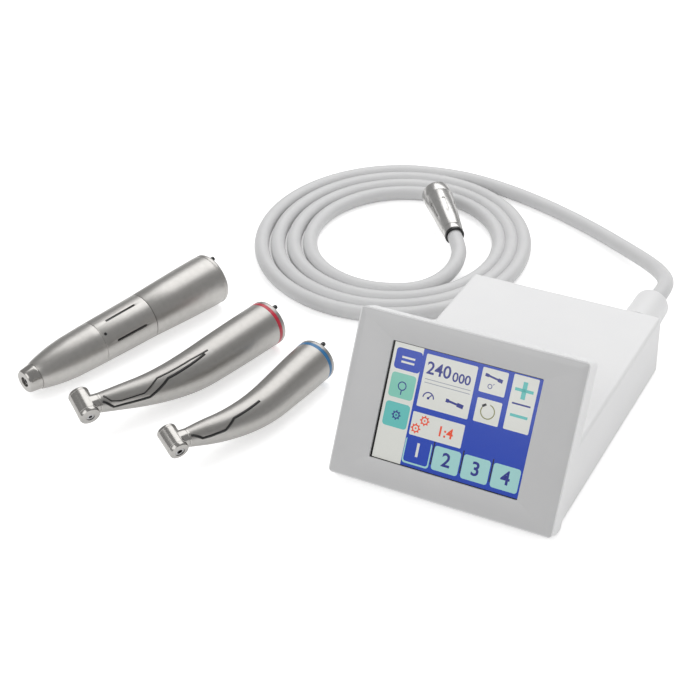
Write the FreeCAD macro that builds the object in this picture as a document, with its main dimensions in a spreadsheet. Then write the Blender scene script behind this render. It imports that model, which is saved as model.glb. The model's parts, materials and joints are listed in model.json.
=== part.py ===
import FreeCAD, Part
import math
import os
import Sketcher
from FreeCAD import Placement, Rotation, Vector

# Desktop control unit with a tilted touch screen, a coiled motor hose with its coupling, and three
# handpieces. Millimetres; X along the unit's width, Y to the rear, Z up; the origin is on the table
# under the middle of the unit.

SIZES = {
    # control unit
    "lean": 60.7,
    "table_gap": 1.0,
    "board_margin": 11.4,
    "cover_rear": 65.0,
    "cover_height": 27.7,
    "cover_wall": 2.0,
    "cover_rounding": 1.6,
    "panel_shift": 3.04,
    "panel_front": 67.8,
    "panel_lip": 3.7,
    "shell_underside": 1.2,
    "shell_width": 99.5,
    "shell_height": 71.0,
    "shell_depth": 9.8,
    "shell_corner": 2.0,
    "shell_rim": 1.0,
    "shell_back": 1.6,
    "cover_gap": 0.2,
    "bezel_depth": 2.2,
    "bezel_proud": 0.3,
    "bezel_gap": 0.15,
    "bezel_lip": 0.8,
    "bezel_corner": 1.2,
    "bezel_chamfer": 0.3,
    "window_width": 65.6,
    "window_height": 49.4,
    "window_middle": 35.6,
    "glass_border": 1.8,
    "glass_depth": 1.1,
    "glass_gap": 0.15,
    "gasket_depth": 0.5,
    "module_border": 2.2,
    "module_depth": 4.5,
    "module_gap": 0.5,
    "screen_board_depth": 1.2,
    "screen_board_inset": 1.0,
    "bezel_screw_x": 43.5,
    "bezel_screw_y": 28.5,
    "small_screw_radius": 1.0,
    "small_screw_head": 1.9,
    "small_screw_cap": 1.2,
    "small_screw_bite": 1.2,
    "screw_gap": 0.05,
    "base_depth": 2.0,
    "base_gap": 0.2,
    "boss_margin": 4.5,
    "boss_rear": 50.0,
    "boss_front": 33.0,
    "boss_radius": 3.2,
    "base_screw_radius": 1.45,
    "base_screw_head": 2.75,
    "base_screw_cap": 1.1,
    "base_screw_length": 9.0,
    "head_gap": 0.2,
    "foot_radius": 5.0,
    "foot_height": 2.0,
    "foot_x": 30.0,
    "foot_rear": 54.0,
    "foot_front": 47.0,
    "board_width": 68.0,
    "board_front": 30.0,
    "board_rear": 58.0,
    "board_depth": 1.6,
    "standoff_height": 4.0,
    "standoff_radius": 2.8,
    "standoff_inset": 5.0,
    "standoff_rear": 52.0,
    "standoff_front": 24.0,
    "inner_screw_radius": 1.2,
    "inner_screw_head": 2.2,
    "inner_screw_cap": 1.4,
    "inner_screw_length": 4.6,
    "bracket_depth": 1.5,
    "bracket_gap": 0.5,
    "bracket_foot": 12.0,
    "bracket_top": 25.5,
    "bracket_margin": 4.5,
    "bracket_screw_y": 20.0,
    "bracket_foot_x": 16.0,
    "sink_x": 14.0,
    "sink_y": 22.0,
    "sink_width": 26.0,
    "sink_length": 30.0,
    "sink_base": 3.0,
    "fin_height": 8.0,
    "fin_depth": 1.2,
    "fin_count": 6,
    "chip_depth": 7.0,
    "inlet_x": 27.0,
    "port_level": 16.0,
    "inlet_radius": 5.2,
    "inlet_flange": 6.5,
    "inlet_bore": 2.8,
    "inlet_length": 12.0,
    "inlet_pin": 1.0,
    "port_gap": 0.1,
    "air_x": 6.0,
    "air_radius": 2.0,
    "air_length": 8.0,
    "air_bore": 1.0,
    "air_stem": 3.3,
    "air_flange": 5.0,
    "barb_radius": 1.5,
    "barb_length": 6.0,
    "tube_gap": 0.05,
    "tube_wall": 0.8,
    "sensor_y": 38.0,
    "sensor_length": 10.0,
    "sensor_width": 12.0,
    "sensor_height": 11.0,
    "sensor_nozzle": 4.0,
    # hose and its ends
    "hose_diameter": 7.6,
    "hose_level": 3.85,
    "coil_radius": 73.8,
    "coil_x": 112.5,
    "coil_y": 115.0,
    "coil_drift": 4.0,
    "coil_long": 1.03,
    "coil_short": 0.97,
    "gland_x": 34.2,
    "gland_level": 20.0,
    "gland_radius": 8.4,
    "gland_end": 8.0,
    "gland_length": 22.0,
    "gland_seat": 10.0,
    "gland_gap": 0.08,
    "gland_stem": 4.5,
    "gland_stem_length": 7.0,
    "gland_bore": 3.0,
    "gland_rounding": 1.5,
    "nut_flats": 11.5,
    "nut_depth": 4.0,
    "coupling_length": 40.0,
    "coupling_small": 5.0,
    "coupling_large": 7.7,
    "coupling_rounding": 0.9,
    "coupling_tail": 5.0,
    "coupling_ring": 1.6,
    "coupling_seat": 9.0,
    "coupling_wall": 0.7,
    "coupling_core": 5.2,
    "coupling_neck": 12.0,
    "coupling_flange": 7.2,
    "port_depth": 6.0,
    "coupling_seam": 0.12,
    "nut_running": 0.1,
    "motor_port": 6.2,
    "insert_radius": 4.0,
    "insert_depth": 3.0,
    "insert_gap": 0.05,
    "grip_width": 1.6,
    "grip_depth": 0.5,
    "grip_count": 6,
    # straight handpiece
    "table_touch": 0.02,
    "straight_length": 112.0,
    "straight_pitch": 1.9,
    "straight_rim": 12.7,
    "straight_collar": 43.6,
    "straight_front": 72.4,
    "straight_nose": 6.0,
    "rear_place_1": 6.0,
    "rear_radius_1": 12.7,
    "rear_place_2": 17.7,
    "rear_radius_2": 12.4,
    "rear_place_3": 29.3,
    "rear_radius_3": 11.9,
    "front_place_1": 75.8,
    "front_radius_1": 10.4,
    "front_place_2": 87.5,
    "front_radius_2": 9.9,
    "front_place_3": 94.0,
    "front_radius_3": 9.2,
    "front_place_4": 99.0,
    "front_radius_4": 8.3,
    "front_place_5": 103.0,
    "front_radius_5": 7.4,
    "nose_shoulder": 6.5,
    "nose_rim": 6.3,
    "nose_middle": 6.2,
    "nose_edge": 5.6,
    "nose_tip": 5.0,
    "straight_spot_x": 186.7,
    "straight_spot_y": 23.3,
    "collar_rear": 11.2,
    "collar_front": 10.5,
    "seam_gap": 0.15,
    "shell_bore": 7.5,
    "frame_gap": 0.1,
    "frame_bore": 5.0,
    "frame_start": 24.0,
    "frame_step": 90.5,
    "frame_end": 101.5,
    "frame_nose": 5.8,
    "nose_bore": 3.0,
    "spindle_radius": 2.0,
    "spindle_nose_gap": 0.4,
    "chuck_radius": 1.19,
    "chuck_depth": 32.0,
    "bearing_gap": 0.03,
    "bearing_seat": 0.05,
    "bearing_width": 4.0,
    "dog_radius": 3.0,
    "dog_length": 3.5,
    "dog_slot": 1.2,
    "flute_count": 6,
    "flute_width": 1.2,
    "flute_depth": 0.5,
    "flute_length": 17.2,
    "motor_socket": 7.0,
    "socket_depth": 22.0,
    "index_radius": 1.1,
    "index_place": 10.0,
    "index_proud": 2.0,
    "index_seat": 3.0,
    # contra-angles, shared
    "roll": 20.0,
    "section_step": 7.0,
    "rear_shaft_radius": 1.5,
    "rear_shaft_start": 23.5,
    "rear_bearing_radius": 3.0,
    "rear_bearing_width": 2.5,
    "shaft_bore": 2.0,
    "neck_bore": 2.5,
    "neck_shaft": 0.97,
    "neck_bearing_width": 2.0,
    "ring_width": 2.0,
    "ring_depth": 0.8,
    "ring_place": 2.0,
    "spigot_length": 3.0,
    "spigot_wall": 0.4,
    "spigot_gap": 0.05,
    "stub_length": 6.6,
    "cap_gap": 0.08,
    "cap_travel": 0.6,
    "cap_wall": 0.55,
    "cap_dome": 0.7,
    "spring_depth": 0.3,
    "spring_wire": 0.7,
    "chamber_wall": 1.0,
    "bur_face_wall": 0.45,
    "spindle_recess": 0.3,
    "tooth_height": 0.2,
    "tooth_root": 0.35,
    "tooth_share": 0.32,
    # contra-angle with the red ring
    "red_rim": 10.9,
    "red_grip": 10.6,
    "red_grip_place": 21.5,
    "red_waist": 10.0,
    "red_waist_place": 43.4,
    "red_elbow": 9.3,
    "red_elbow_place": 54.4,
    "red_taper": 8.2,
    "red_taper_place": 64.9,
    "red_throat": 7.0,
    "red_throat_place": 75.4,
    "red_collar": 5.9,
    "red_collar_place": 85.4,
    "red_corner": 62.0,
    "red_bend": 19.0,
    "red_neck": 43.0,
    "red_tangent": 20.0,
    "red_teeth_rear": 20,
    "red_teeth_front": 6,
    "red_gear_place": 14.0,
    "red_face": 0.84,
    "red_chamber": 4.3,
    "red_head": 4.7,
    "red_head_top": 7.5,
    "red_head_low": 6.4,
    "red_stub": 4.4,
    "red_teeth_shaft": 15,
    "red_teeth_spindle": 10,
    "red_head_gear": 2.2,
    "red_head_face": 0.8,
    "red_bearing_top": 4.3,
    "red_spindle": 1.6,
    "red_bur": 0.81,
    "red_index": 9.0,
    "red_spot_x": 143.9,
    "red_spot_y": 38.4,
    # contra-angle with the blue ring
    "blue_rim": 10.0,
    "blue_grip": 9.8,
    "blue_grip_place": 12.0,
    "blue_waist": 9.1,
    "blue_waist_place": 28.0,
    "blue_elbow": 8.5,
    "blue_elbow_place": 40.6,
    "blue_taper": 7.6,
    "blue_taper_place": 52.2,
    "blue_throat": 6.5,
    "blue_throat_place": 63.8,
    "blue_collar": 5.5,
    "blue_collar_place": 73.5,
    "blue_corner": 52.0,
    "blue_bend": 23.0,
    "blue_neck": 37.5,
    "blue_tangent": 18.0,
    "blue_teeth_rear": 10,
    "blue_teeth_front": 10,
    "blue_gear_place": 10.0,
    "blue_face": 0.83,
    "blue_chamber": 2.7,
    "blue_head": 4.4,
    "blue_head_top": 6.6,
    "blue_head_low": 6.0,
    "blue_stub": 4.1,
    "blue_teeth_shaft": 12,
    "blue_teeth_spindle": 12,
    "blue_head_gear": 2.5,
    "blue_head_face": 0.85,
    "blue_bearing_top": 3.5,
    "blue_spindle": 1.9,
    "blue_bur": 1.19,
    "blue_index": 8.5,
    "blue_spot_x": 102.6,
    "blue_spot_y": 48.5,
    "bur_depth": 10.0,
}

doc = FreeCAD.newDocument("handpiece_system")
sheet = doc.addObject("Spreadsheet::Sheet", "sizes")
for row, (name, number) in enumerate(SIZES.items(), start=1):
    sheet.set(f"A{row}", name)
    sheet.set(f"B{row}", str(number))
    sheet.setAlias(f"B{row}", name)
doc.recompute()


class Size:
    # a number together with the sheet expression that gives it
    def __init__(self, value, text):
        self.value = value
        self.text = text

    def __add__(self, other):
        other = as_size(other)
        return Size(self.value + other.value, f"({self.text} + {other.text})")

    def __radd__(self, other):
        return as_size(other) + self

    def __sub__(self, other):
        other = as_size(other)
        return Size(self.value - other.value, f"({self.text} - {other.text})")

    def __rsub__(self, other):
        return as_size(other) - self

    def __mul__(self, other):
        other = as_size(other)
        return Size(self.value * other.value, f"({self.text} * {other.text})")

    def __rmul__(self, other):
        return as_size(other) * self

    def __truediv__(self, other):
        other = as_size(other)
        return Size(self.value / other.value, f"({self.text} / {other.text})")

    def __neg__(self):
        return Size(-self.value, f"(0 - {self.text})")

    def __float__(self):
        return float(self.value)


def as_size(item):
    if isinstance(item, Size):
        return item
    return Size(float(item), repr(float(item)))


def cell(name):
    return Size(float(sheet.get(name)), f"sizes.{name}")


def sine(angle):
    return Size(math.sin(math.radians(float(angle))), f"sin({angle.text})")


def cosine(angle):
    return Size(math.cos(math.radians(float(angle))), f"cos({angle.text})")


S = {name: cell(name) for name in SIZES}


def bind(item, prop, size):
    size = as_size(size)
    if "." not in prop and "[" not in prop:
        setattr(item, prop, float(size))
    item.setExpression(prop, size.text)


def whole(name):
    return int(round(float(S[name])))


# Sketch helpers. A corner is (x, y) or (x, y, radius): the radius bends the edge that leaves the
# corner, with the centre on its left when positive.

def add_loop(sketch, corners):
    first = len(sketch.Geometry)
    ends = []
    count = len(corners)
    for index, corner in enumerate(corners):
        follower = corners[(index + 1) % count]
        start = Vector(float(corner[0]), float(corner[1]), 0)
        stop = Vector(float(follower[0]), float(follower[1]), 0)
        if len(corner) == 2:
            sketch.addGeometry(Part.LineSegment(start, stop))
            ends.append((1, 2))
            continue
        radius = float(corner[2])
        side = 1 if radius > 0 else -1
        half = (stop - start).Length / 2
        left = Vector(start.y - stop.y, stop.x - start.x, 0).normalize()
        rise = math.sqrt(max(radius * radius - half * half, 0))
        centre = (start + stop) * 0.5 + left * (side * rise)
        begin = math.atan2(start.y - centre.y, start.x - centre.x)
        finish = math.atan2(stop.y - centre.y, stop.x - centre.x)
        if side < 0:
            begin, finish = finish, begin
        circle = Part.Circle(centre, Vector(0, 0, 1), abs(radius))
        sketch.addGeometry(Part.ArcOfCircle(circle, begin, finish))
        ends.append((1, 2) if side > 0 else (2, 1))
    for index in range(count):
        follower = (index + 1) % count
        sketch.addConstraint(Sketcher.Constraint(
            "Coincident", first + index, ends[index][1], first + follower, ends[follower][0]))
    for index, corner in enumerate(corners):
        pin_point(sketch, first + index, ends[index][0], corner[0], corner[1])
        if len(corner) == 3:
            size = as_size(corner[2])
            if float(size) < 0:
                size = -size
            number = sketch.addConstraint(Sketcher.Constraint("Radius", first + index, float(size)))
            sketch.setExpression(f"Constraints[{number}]", size.text)


def pin_point(sketch, geometry, end, across, along):
    for kind, size, axis in (("DistanceX", across, -2), ("DistanceY", along, -1)):
        size = as_size(size)
        if abs(float(size)) < 1e-9:
            sketch.addConstraint(Sketcher.Constraint("PointOnObject", geometry, end, axis))
            continue
        if float(size) > 0:
            number = sketch.addConstraint(
                Sketcher.Constraint(kind, -1, 1, geometry, end, float(size)))
        else:
            size = -size
            number = sketch.addConstraint(
                Sketcher.Constraint(kind, geometry, end, -1, 1, float(size)))
        sketch.setExpression(f"Constraints[{number}]", size.text)


def add_circle(sketch, across, along, radius):
    centre = Vector(float(as_size(across)), float(as_size(along)), 0)
    index = sketch.addGeometry(Part.Circle(centre, Vector(0, 0, 1), float(radius)))
    pin_point(sketch, index, 3, across, along)
    number = sketch.addConstraint(Sketcher.Constraint("Radius", index, float(radius)))
    sketch.setExpression(f"Constraints[{number}]", radius.text)


def rectangle(middle_x, middle_y, width, height, corner=None):
    left = middle_x - width / 2
    right = middle_x + width / 2
    low = middle_y - height / 2
    high = middle_y + height / 2
    if corner is None:
        return [(left, low), (right, low), (right, high), (left, high)]
    return [
        (left + corner, low), (right - corner, low, corner),
        (right, low + corner), (right, high - corner, corner),
        (right - corner, high), (left + corner, high, corner),
        (left, high - corner), (left, low + corner, corner),
    ]


def sketch_in(body, role, loops=(), circles=(), level=None):
    sketch = body.newObject("Sketcher::SketchObject", body.Name + "_sketch")
    plane = next(item for item in body.Origin.OriginFeatures if item.Role == role)
    sketch.AttachmentSupport = (plane, [""])
    sketch.MapMode = "FlatFace"
    if level is not None:
        sketch.AttachmentOffset = Placement(Vector(0, 0, float(level)), Rotation())
        sketch.setExpression("AttachmentOffset.Base.z", as_size(level).text)
    for corners in loops:
        add_loop(sketch, corners)
    for across, along, radius in circles:
        add_circle(sketch, across, along, radius)
    return sketch


def new_body(label):
    body = doc.addObject("PartDesign::Body", label)
    body.Label = label
    return body


def pad(body, sketch, length, both=False, flip=False):
    item = body.newObject("PartDesign::Pad", body.Name + "_pad")
    item.Profile = sketch
    bind(item, "Length", length)
    if both:
        item.SideType = "Symmetric"
    item.Reversed = flip
    return item


def pocket(body, sketch, length, both=False, flip=False):
    item = body.newObject("PartDesign::Pocket", body.Name + "_pocket")
    item.Profile = sketch
    bind(item, "Length", length)
    if both:
        item.SideType = "Symmetric"
    item.Reversed = flip
    return item


def turn_axis(body, corners):
    sketch = sketch_in(body, "XY_Plane", [corners])
    item = body.newObject("PartDesign::Revolution", body.Name + "_turn")
    item.Profile = sketch
    item.ReferenceAxis = (sketch, ["H_Axis"])
    item.Angle = 360
    return item


def turned(label, corners, place=None):
    body = new_body(label)
    turn_axis(body, corners)
    if place is not None:
        body.Placement = place
    return body


def soften(body, feature, size, chosen, kind="Fillet"):
    doc.recompute()
    names = [
        f"Edge{index}" for index, edge in enumerate(feature.Shape.Edges, start=1) if chosen(edge)]
    item = body.newObject(f"PartDesign::{kind}", body.Name + "_soft")
    item.Base = (feature, names)
    bind(item, "Radius" if kind == "Fillet" else "Size", size)
    return item


def round_pattern(body, feature, count):
    item = body.newObject("PartDesign::PolarPattern", body.Name + "_pattern")
    item.Originals = [feature]
    axis = next(part for part in body.Origin.OriginFeatures if part.Role == "X_Axis")
    item.Axis = (axis, [""])
    item.Angle = 360
    item.Occurrences = count
    body.Tip = item
    return item


def box(label, width, length, height, corner, frame=None):
    item = doc.addObject("Part::Box", label)
    item.Label = label
    bind(item, "Length", width)
    bind(item, "Width", length)
    bind(item, "Height", height)
    place = Placement(Vector(*[float(as_size(value)) for value in corner]), Rotation())
    item.Placement = frame.multiply(place) if frame else place
    return item


def cylinder(label, radius, height, base, direction, frame=None):
    item = doc.addObject("Part::Cylinder", label)
    item.Label = label
    bind(item, "Radius", radius)
    bind(item, "Height", height)
    spin = Rotation(Vector(0, 0, 1), Vector(*direction))
    place = Placement(Vector(*[float(as_size(value)) for value in base]), spin)
    item.Placement = frame.multiply(place) if frame else place
    return item


def combine(label, kind, base, tools):
    if len(tools) == 1:
        tool = tools[0]
    else:
        tool = doc.addObject("Part::MultiFuse", label + "_tools")
        tool.Shapes = tools
    item = doc.addObject(f"Part::{kind}", label)
    item.Label = label
    item.Base = base
    item.Tool = tool
    return item


def carve(label, base, tools):
    # one cut after another
    for index, tool in enumerate(tools):
        item = doc.addObject("Part::Cut", label if index == len(tools) - 1 else label + "_step")
        item.Base = base
        item.Tool = tool
        base = item
    base.Label = label
    return base


def group(label, source, places):
    links = []
    for place in places:
        link = doc.addObject("App::Link", label + "_copy")
        link.LinkedObject = source
        link.LinkTransform = False
        link.Placement = place
        links.append(link)
    item = doc.addObject("Part::Compound", label)
    item.Label = label
    item.Links = links
    return item


def feature(label, shape, place=None):
    item = doc.addObject("Part::Feature", label)
    item.Label = label
    item.Shape = shape
    if place is not None:
        item.Placement = place
    return item


def at(across, along, up, axis=None):
    # a placement whose local X points along the axis
    spot = Vector(*[float(as_size(value)) for value in (across, along, up)])
    if axis is None:
        return Placement(spot, Rotation())
    return Placement(spot, Rotation(Vector(1, 0, 0), Vector(*axis)))


nodes = []


def keep(item):
    nodes.append(item)
    return item


UP = (0, 0, 1)
DOWN = (0, 0, -1)
REAR = (0, 1, 0)
zero = as_size(0)

# Levels and planes of the unit
base_low = S["table_gap"]
base_top = base_low + S["base_depth"]
cover_top = base_low + S["cover_height"]
inner_top = cover_top - S["cover_wall"]
inner_rear = S["cover_rear"] - S["cover_wall"]
cover_width = S["board_width"] + S["board_margin"] * 2
boss_x = S["board_width"] / 2 + S["boss_margin"]
standoff_x = S["board_width"] / 2 - S["standoff_inset"]
inner_half = cover_width / 2 - S["cover_wall"]
board_level = base_top + S["standoff_height"]
board_top = board_level + S["board_depth"]
lean_sin = sine(S["lean"])
lean_cos = cosine(S["lean"])
# the plane of the screen shell's back: its y at table level and its slope
back_start = S["shell_depth"] / lean_sin - S["panel_front"] - S["panel_lip"] * lean_cos / lean_sin
back_slope = lean_cos / lean_sin
panel = Placement(
    Vector(-float(S["panel_shift"]), -float(S["panel_front"]), float(S["panel_lip"])),
    Rotation(Vector(1, 0, 0), float(S["lean"])))


def back_y(level, gap):
    return back_start + back_slope * level + gap / lean_sin


# Housing cover: side profile across the width, hollowed from below and in front
cover = keep(new_body("housing_cover"))
front_low = back_y(base_low, S["cover_gap"])
front_high = back_y(cover_top, S["cover_gap"])
profile = sketch_in(cover, "YZ_Plane", [[
    (front_low, base_low), (S["cover_rear"], base_low),
    (S["cover_rear"], cover_top), (front_high, cover_top)]])
block = pad(cover, profile, cover_width, both=True)


def cover_edge(edge):
    first = edge.Vertexes[0].Point
    last = edge.Vertexes[-1].Point
    side = float(cover_width) / 2
    upright = abs(abs(first.x) - side) < 1e-6 and abs(abs(last.x) - side) < 1e-6
    rear = float(S["cover_rear"])
    high = float(cover_top)
    at_rear = abs(first.y - rear) < 1e-6 and abs(last.y - rear) < 1e-6
    at_top = abs(first.z - high) < 1e-6 and abs(last.z - high) < 1e-6
    same_side = abs(first.x - last.x) < 1e-6
    if at_rear and at_top:
        return True
    return upright and same_side and (at_rear or at_top)


soften(cover, block, S["cover_rounding"], cover_edge)
doc.recompute()
clear = S["cover_wall"] * 3
hollow = sketch_in(cover, "YZ_Plane", [[
    (front_low - clear, base_low - clear), (inner_rear, base_low - clear),
    (inner_rear, inner_top), (front_low - clear, inner_top)]])
pocket(cover, hollow, inner_half * 2, both=True)
bosses = sketch_in(cover, "XY_Plane", circles=[
    (boss_x, S["boss_rear"], S["boss_radius"]),
    (-boss_x, S["boss_rear"], S["boss_radius"]),
    (boss_x, -S["boss_front"], S["boss_radius"]),
    (-boss_x, -S["boss_front"], S["boss_radius"])], level=base_top)
pad(cover, bosses, inner_top - base_top + S["cover_wall"] / 2)
boss_bores = sketch_in(cover, "XY_Plane", circles=[
    (side * boss_x, along, S["base_screw_radius"] + S["screw_gap"])
    for side in (1, -1) for along in (S["boss_rear"], -S["boss_front"])], level=base_top)
pocket(cover, boss_bores, S["base_screw_length"], flip=True)
ports = sketch_in(cover, "XZ_Plane", circles=[
    (S["gland_x"], S["gland_level"], S["gland_stem"] + S["port_gap"]),
    (-S["inlet_x"], S["port_level"], S["inlet_radius"] + S["port_gap"]),
    (-S["air_x"], S["port_level"], S["air_stem"] + S["port_gap"])], level=-S["cover_rear"])
pocket(cover, ports, S["cover_wall"] * 1.5, flip=True)

# Base plate with foot recesses, screw holes and standoffs for the main board
base = keep(new_body("base_plate"))
base_half = inner_half - S["base_gap"]
base_rear = inner_rear - S["base_gap"]
base_front = back_y(base_top, S["cover_gap"])
plate = sketch_in(base, "XY_Plane", [[
    (-base_half, base_front), (base_half, base_front),
    (base_half, base_rear), (-base_half, base_rear)]], level=base_low)
pad(base, plate, S["base_depth"])
standoff_spots = [
    (side * standoff_x, along)
    for side in (1, -1) for along in (S["standoff_rear"], -S["standoff_front"])]
posts = sketch_in(base, "XY_Plane", circles=[
    (across, along, S["standoff_radius"]) for across, along in standoff_spots], level=base_top)
pad(base, posts, S["standoff_height"])
post_bores = sketch_in(base, "XY_Plane", circles=[
    (across, along, S["inner_screw_radius"] + S["screw_gap"])
    for across, along in standoff_spots], level=board_level)
pocket(base, post_bores, S["standoff_height"])
foot_spots = [
    (side * S["foot_x"], along) for side in (1, -1) for along in (S["foot_rear"], -S["foot_front"])]
foot_sink = S["foot_height"] - base_low
wells = sketch_in(base, "XY_Plane", circles=[
    (across, along, S["foot_radius"] + S["head_gap"]) for across, along in foot_spots],
    level=base_low)
pocket(base, wells, foot_sink, flip=True)
screw_spots = [
    (side * boss_x, along) for side in (1, -1) for along in (S["boss_rear"], -S["boss_front"])]
sinks = sketch_in(base, "XY_Plane", circles=[
    (across, along, S["base_screw_head"] + S["head_gap"]) for across, along in screw_spots],
    level=base_low)
pocket(base, sinks, S["base_screw_cap"], flip=True)
holes = sketch_in(base, "XY_Plane", circles=[
    (across, along, S["base_screw_radius"] + S["screw_gap"]) for across, along in screw_spots],
    level=base_low)
pocket(base, holes, S["base_depth"], flip=True)
bracket_foot_y = base_front + S["bracket_foot"]
bracket_holes = sketch_in(base, "XY_Plane", circles=[
    (side * S["bracket_foot_x"], bracket_foot_y, S["inner_screw_radius"] + S["screw_gap"])
    for side in (1, -1)], level=base_top)
pocket(base, bracket_holes, S["base_depth"] * 0.8)

foot = cylinder("foot_form", S["foot_radius"], S["foot_height"], (0, 0, 0), UP)
keep(group("rubber_feet", foot, [at(across, along, 0) for across, along in foot_spots]))


def screw_form(label, radius, head, cap, length):
    # local X runs from the top of the head into the material
    socket = head * 0.45
    return turned(label, [
        (cap / 2, 0), (cap / 2, socket), (0, socket), (0, head), (cap, head),
        (cap, radius), (cap + length, radius), (cap + length, 0)])


base_screw = screw_form(
    "base_screw_form", S["base_screw_radius"], S["base_screw_head"], S["base_screw_cap"],
    S["base_screw_length"])
keep(group("base_screws", base_screw, [
    at(across, along, base_low, UP) for across, along in screw_spots]))

# Screen shell: side profile across its width, then the recess, the cavity and the screw holes
shell = keep(new_body("display_shell"))
cut_down = (S["panel_lip"] - S["shell_underside"]) / lean_cos
cut_back = (
    S["shell_depth"] * lean_cos - S["panel_lip"] + S["shell_underside"]) / lean_sin
wedge = sketch_in(shell, "YZ_Plane", [[
    (0, 0), (0, -cut_down), (cut_back, -S["shell_depth"]),
    (S["shell_height"], -S["shell_depth"]), (S["shell_height"], 0)]])
slab = pad(shell, wedge, S["shell_width"], both=True)


def shell_edge(edge):
    first = edge.Vertexes[0].Point
    last = edge.Vertexes[-1].Point
    upright = abs(first.x - last.x) < 1e-6 and abs(first.y - last.y) < 1e-6
    return upright


soften(shell, slab, S["shell_corner"], shell_edge)
doc.recompute()
recess_width = S["shell_width"] - S["shell_rim"] * 2
recess_height = S["shell_height"] - S["shell_rim"] * 2
recess_depth = S["bezel_depth"] - S["bezel_proud"]
shell_middle = S["shell_height"] / 2
recess = sketch_in(shell, "XY_Plane", [rectangle(
    zero, shell_middle, recess_width, recess_height, S["bezel_corner"])])
pocket(shell, recess, recess_depth)
glass_width = S["window_width"] + S["glass_border"] * 2
glass_height = S["window_height"] + S["glass_border"] * 2
module_width = S["window_width"] + S["module_border"] * 2
module_height = S["window_height"] + S["module_border"] * 2
cavity = sketch_in(shell, "XY_Plane", [rectangle(
    zero, S["window_middle"], module_width + S["module_gap"] * 2,
    module_height + S["module_gap"] * 2)])
pocket(shell, cavity, S["shell_depth"] - S["shell_back"])
screw_corners = [
    (side * S["bezel_screw_x"], S["window_middle"] + rise * S["bezel_screw_y"])
    for side in (1, -1) for rise in (1, -1)]
shafts = sketch_in(shell, "XY_Plane", circles=[
    (across, along, S["small_screw_radius"] + S["screw_gap"]) for across, along in screw_corners])
pocket(shell, shafts, S["shell_depth"])
heads = sketch_in(shell, "XY_Plane", circles=[
    (across, along, S["small_screw_head"] + S["head_gap"]) for across, along in screw_corners],
    level=-S["shell_depth"])
pocket(shell, heads, S["small_screw_cap"], flip=True)
bracket_screw_x = module_width / 2 + S["module_gap"] + S["bracket_margin"]
bracket_spots = [
    (side * bracket_screw_x + S["panel_shift"], S["bracket_screw_y"]) for side in (1, -1)]
bracket_bores = sketch_in(shell, "XY_Plane", circles=[
    (across, along, S["inner_screw_radius"] + S["screw_gap"]) for across, along in bracket_spots],
    level=-S["shell_depth"])
pocket(shell, bracket_bores, S["inner_screw_length"], flip=True)
shell.Placement = panel

# Front bezel: seats in the shell's recess, with the window and a rebate for the glass behind it
bezel = keep(new_body("front_bezel"))
bezel_width = recess_width - S["bezel_gap"] * 2
bezel_height = recess_height - S["bezel_gap"] * 2
face = sketch_in(bezel, "XY_Plane", [rectangle(
    zero, shell_middle, bezel_width, bezel_height, S["bezel_corner"])])
front = pad(bezel, face, S["bezel_depth"])


def bezel_edge(edge):
    level = float(S["bezel_depth"])
    return all(abs(vertex.Z - level) < 1e-6 for vertex in edge.Vertexes)


soften(bezel, front, S["bezel_chamfer"], bezel_edge, kind="Chamfer")
window = sketch_in(bezel, "XY_Plane", [rectangle(
    zero, S["window_middle"], S["window_width"], S["window_height"])])
pocket(bezel, window, S["bezel_depth"], flip=True)
rebate = sketch_in(bezel, "XY_Plane", [rectangle(
    zero, S["window_middle"], glass_width + S["glass_gap"] * 2,
    glass_height + S["glass_gap"] * 2)])
pocket(bezel, rebate, S["bezel_depth"] - S["bezel_lip"], flip=True)
bites = sketch_in(bezel, "XY_Plane", circles=[
    (across, along, S["small_screw_radius"] + S["screw_gap"]) for across, along in screw_corners])
pocket(bezel, bites, S["small_screw_bite"], flip=True)
bezel.Placement = panel.multiply(at(0, 0, -recess_depth))

glass_front = S["bezel_proud"] - S["bezel_lip"]
glass_back = glass_front - S["glass_depth"]
keep(box(
    "touch_glass", glass_width, glass_height, S["glass_depth"],
    (-glass_width / 2, S["window_middle"] - glass_height / 2, glass_back), panel))
gasket_back = glass_back - S["gasket_depth"]
gasket_sheet = box(
    "gasket_sheet", glass_width, glass_height, S["gasket_depth"],
    (-glass_width / 2, S["window_middle"] - glass_height / 2, gasket_back), panel)
gasket_window = box(
    "gasket_window", S["window_width"], S["window_height"], S["gasket_depth"],
    (-S["window_width"] / 2, S["window_middle"] - S["window_height"] / 2, gasket_back), panel)
keep(combine("bezel_gasket", "Cut", gasket_sheet, [gasket_window]))
module_back = gasket_back - S["module_depth"]
keep(box(
    "display_module", module_width, module_height, S["module_depth"],
    (-module_width / 2, S["window_middle"] - module_height / 2, module_back), panel))
screen_board_width = module_width - S["screen_board_inset"] * 2
screen_board_height = module_height - S["screen_board_inset"] * 2
keep(box(
    "display_board", screen_board_width, screen_board_height, S["screen_board_depth"],
    (-screen_board_width / 2, S["window_middle"] - screen_board_height / 2,
     module_back - S["screen_board_depth"]), panel))
small_screw = screw_form(
    "small_screw_form", S["small_screw_radius"], S["small_screw_head"], S["small_screw_cap"],
    S["shell_depth"] - S["small_screw_cap"] - recess_depth + S["small_screw_bite"])
keep(group("display_screws", small_screw, [
    panel.multiply(at(across, along, -S["shell_depth"], UP)) for across, along in screw_corners]))

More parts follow.
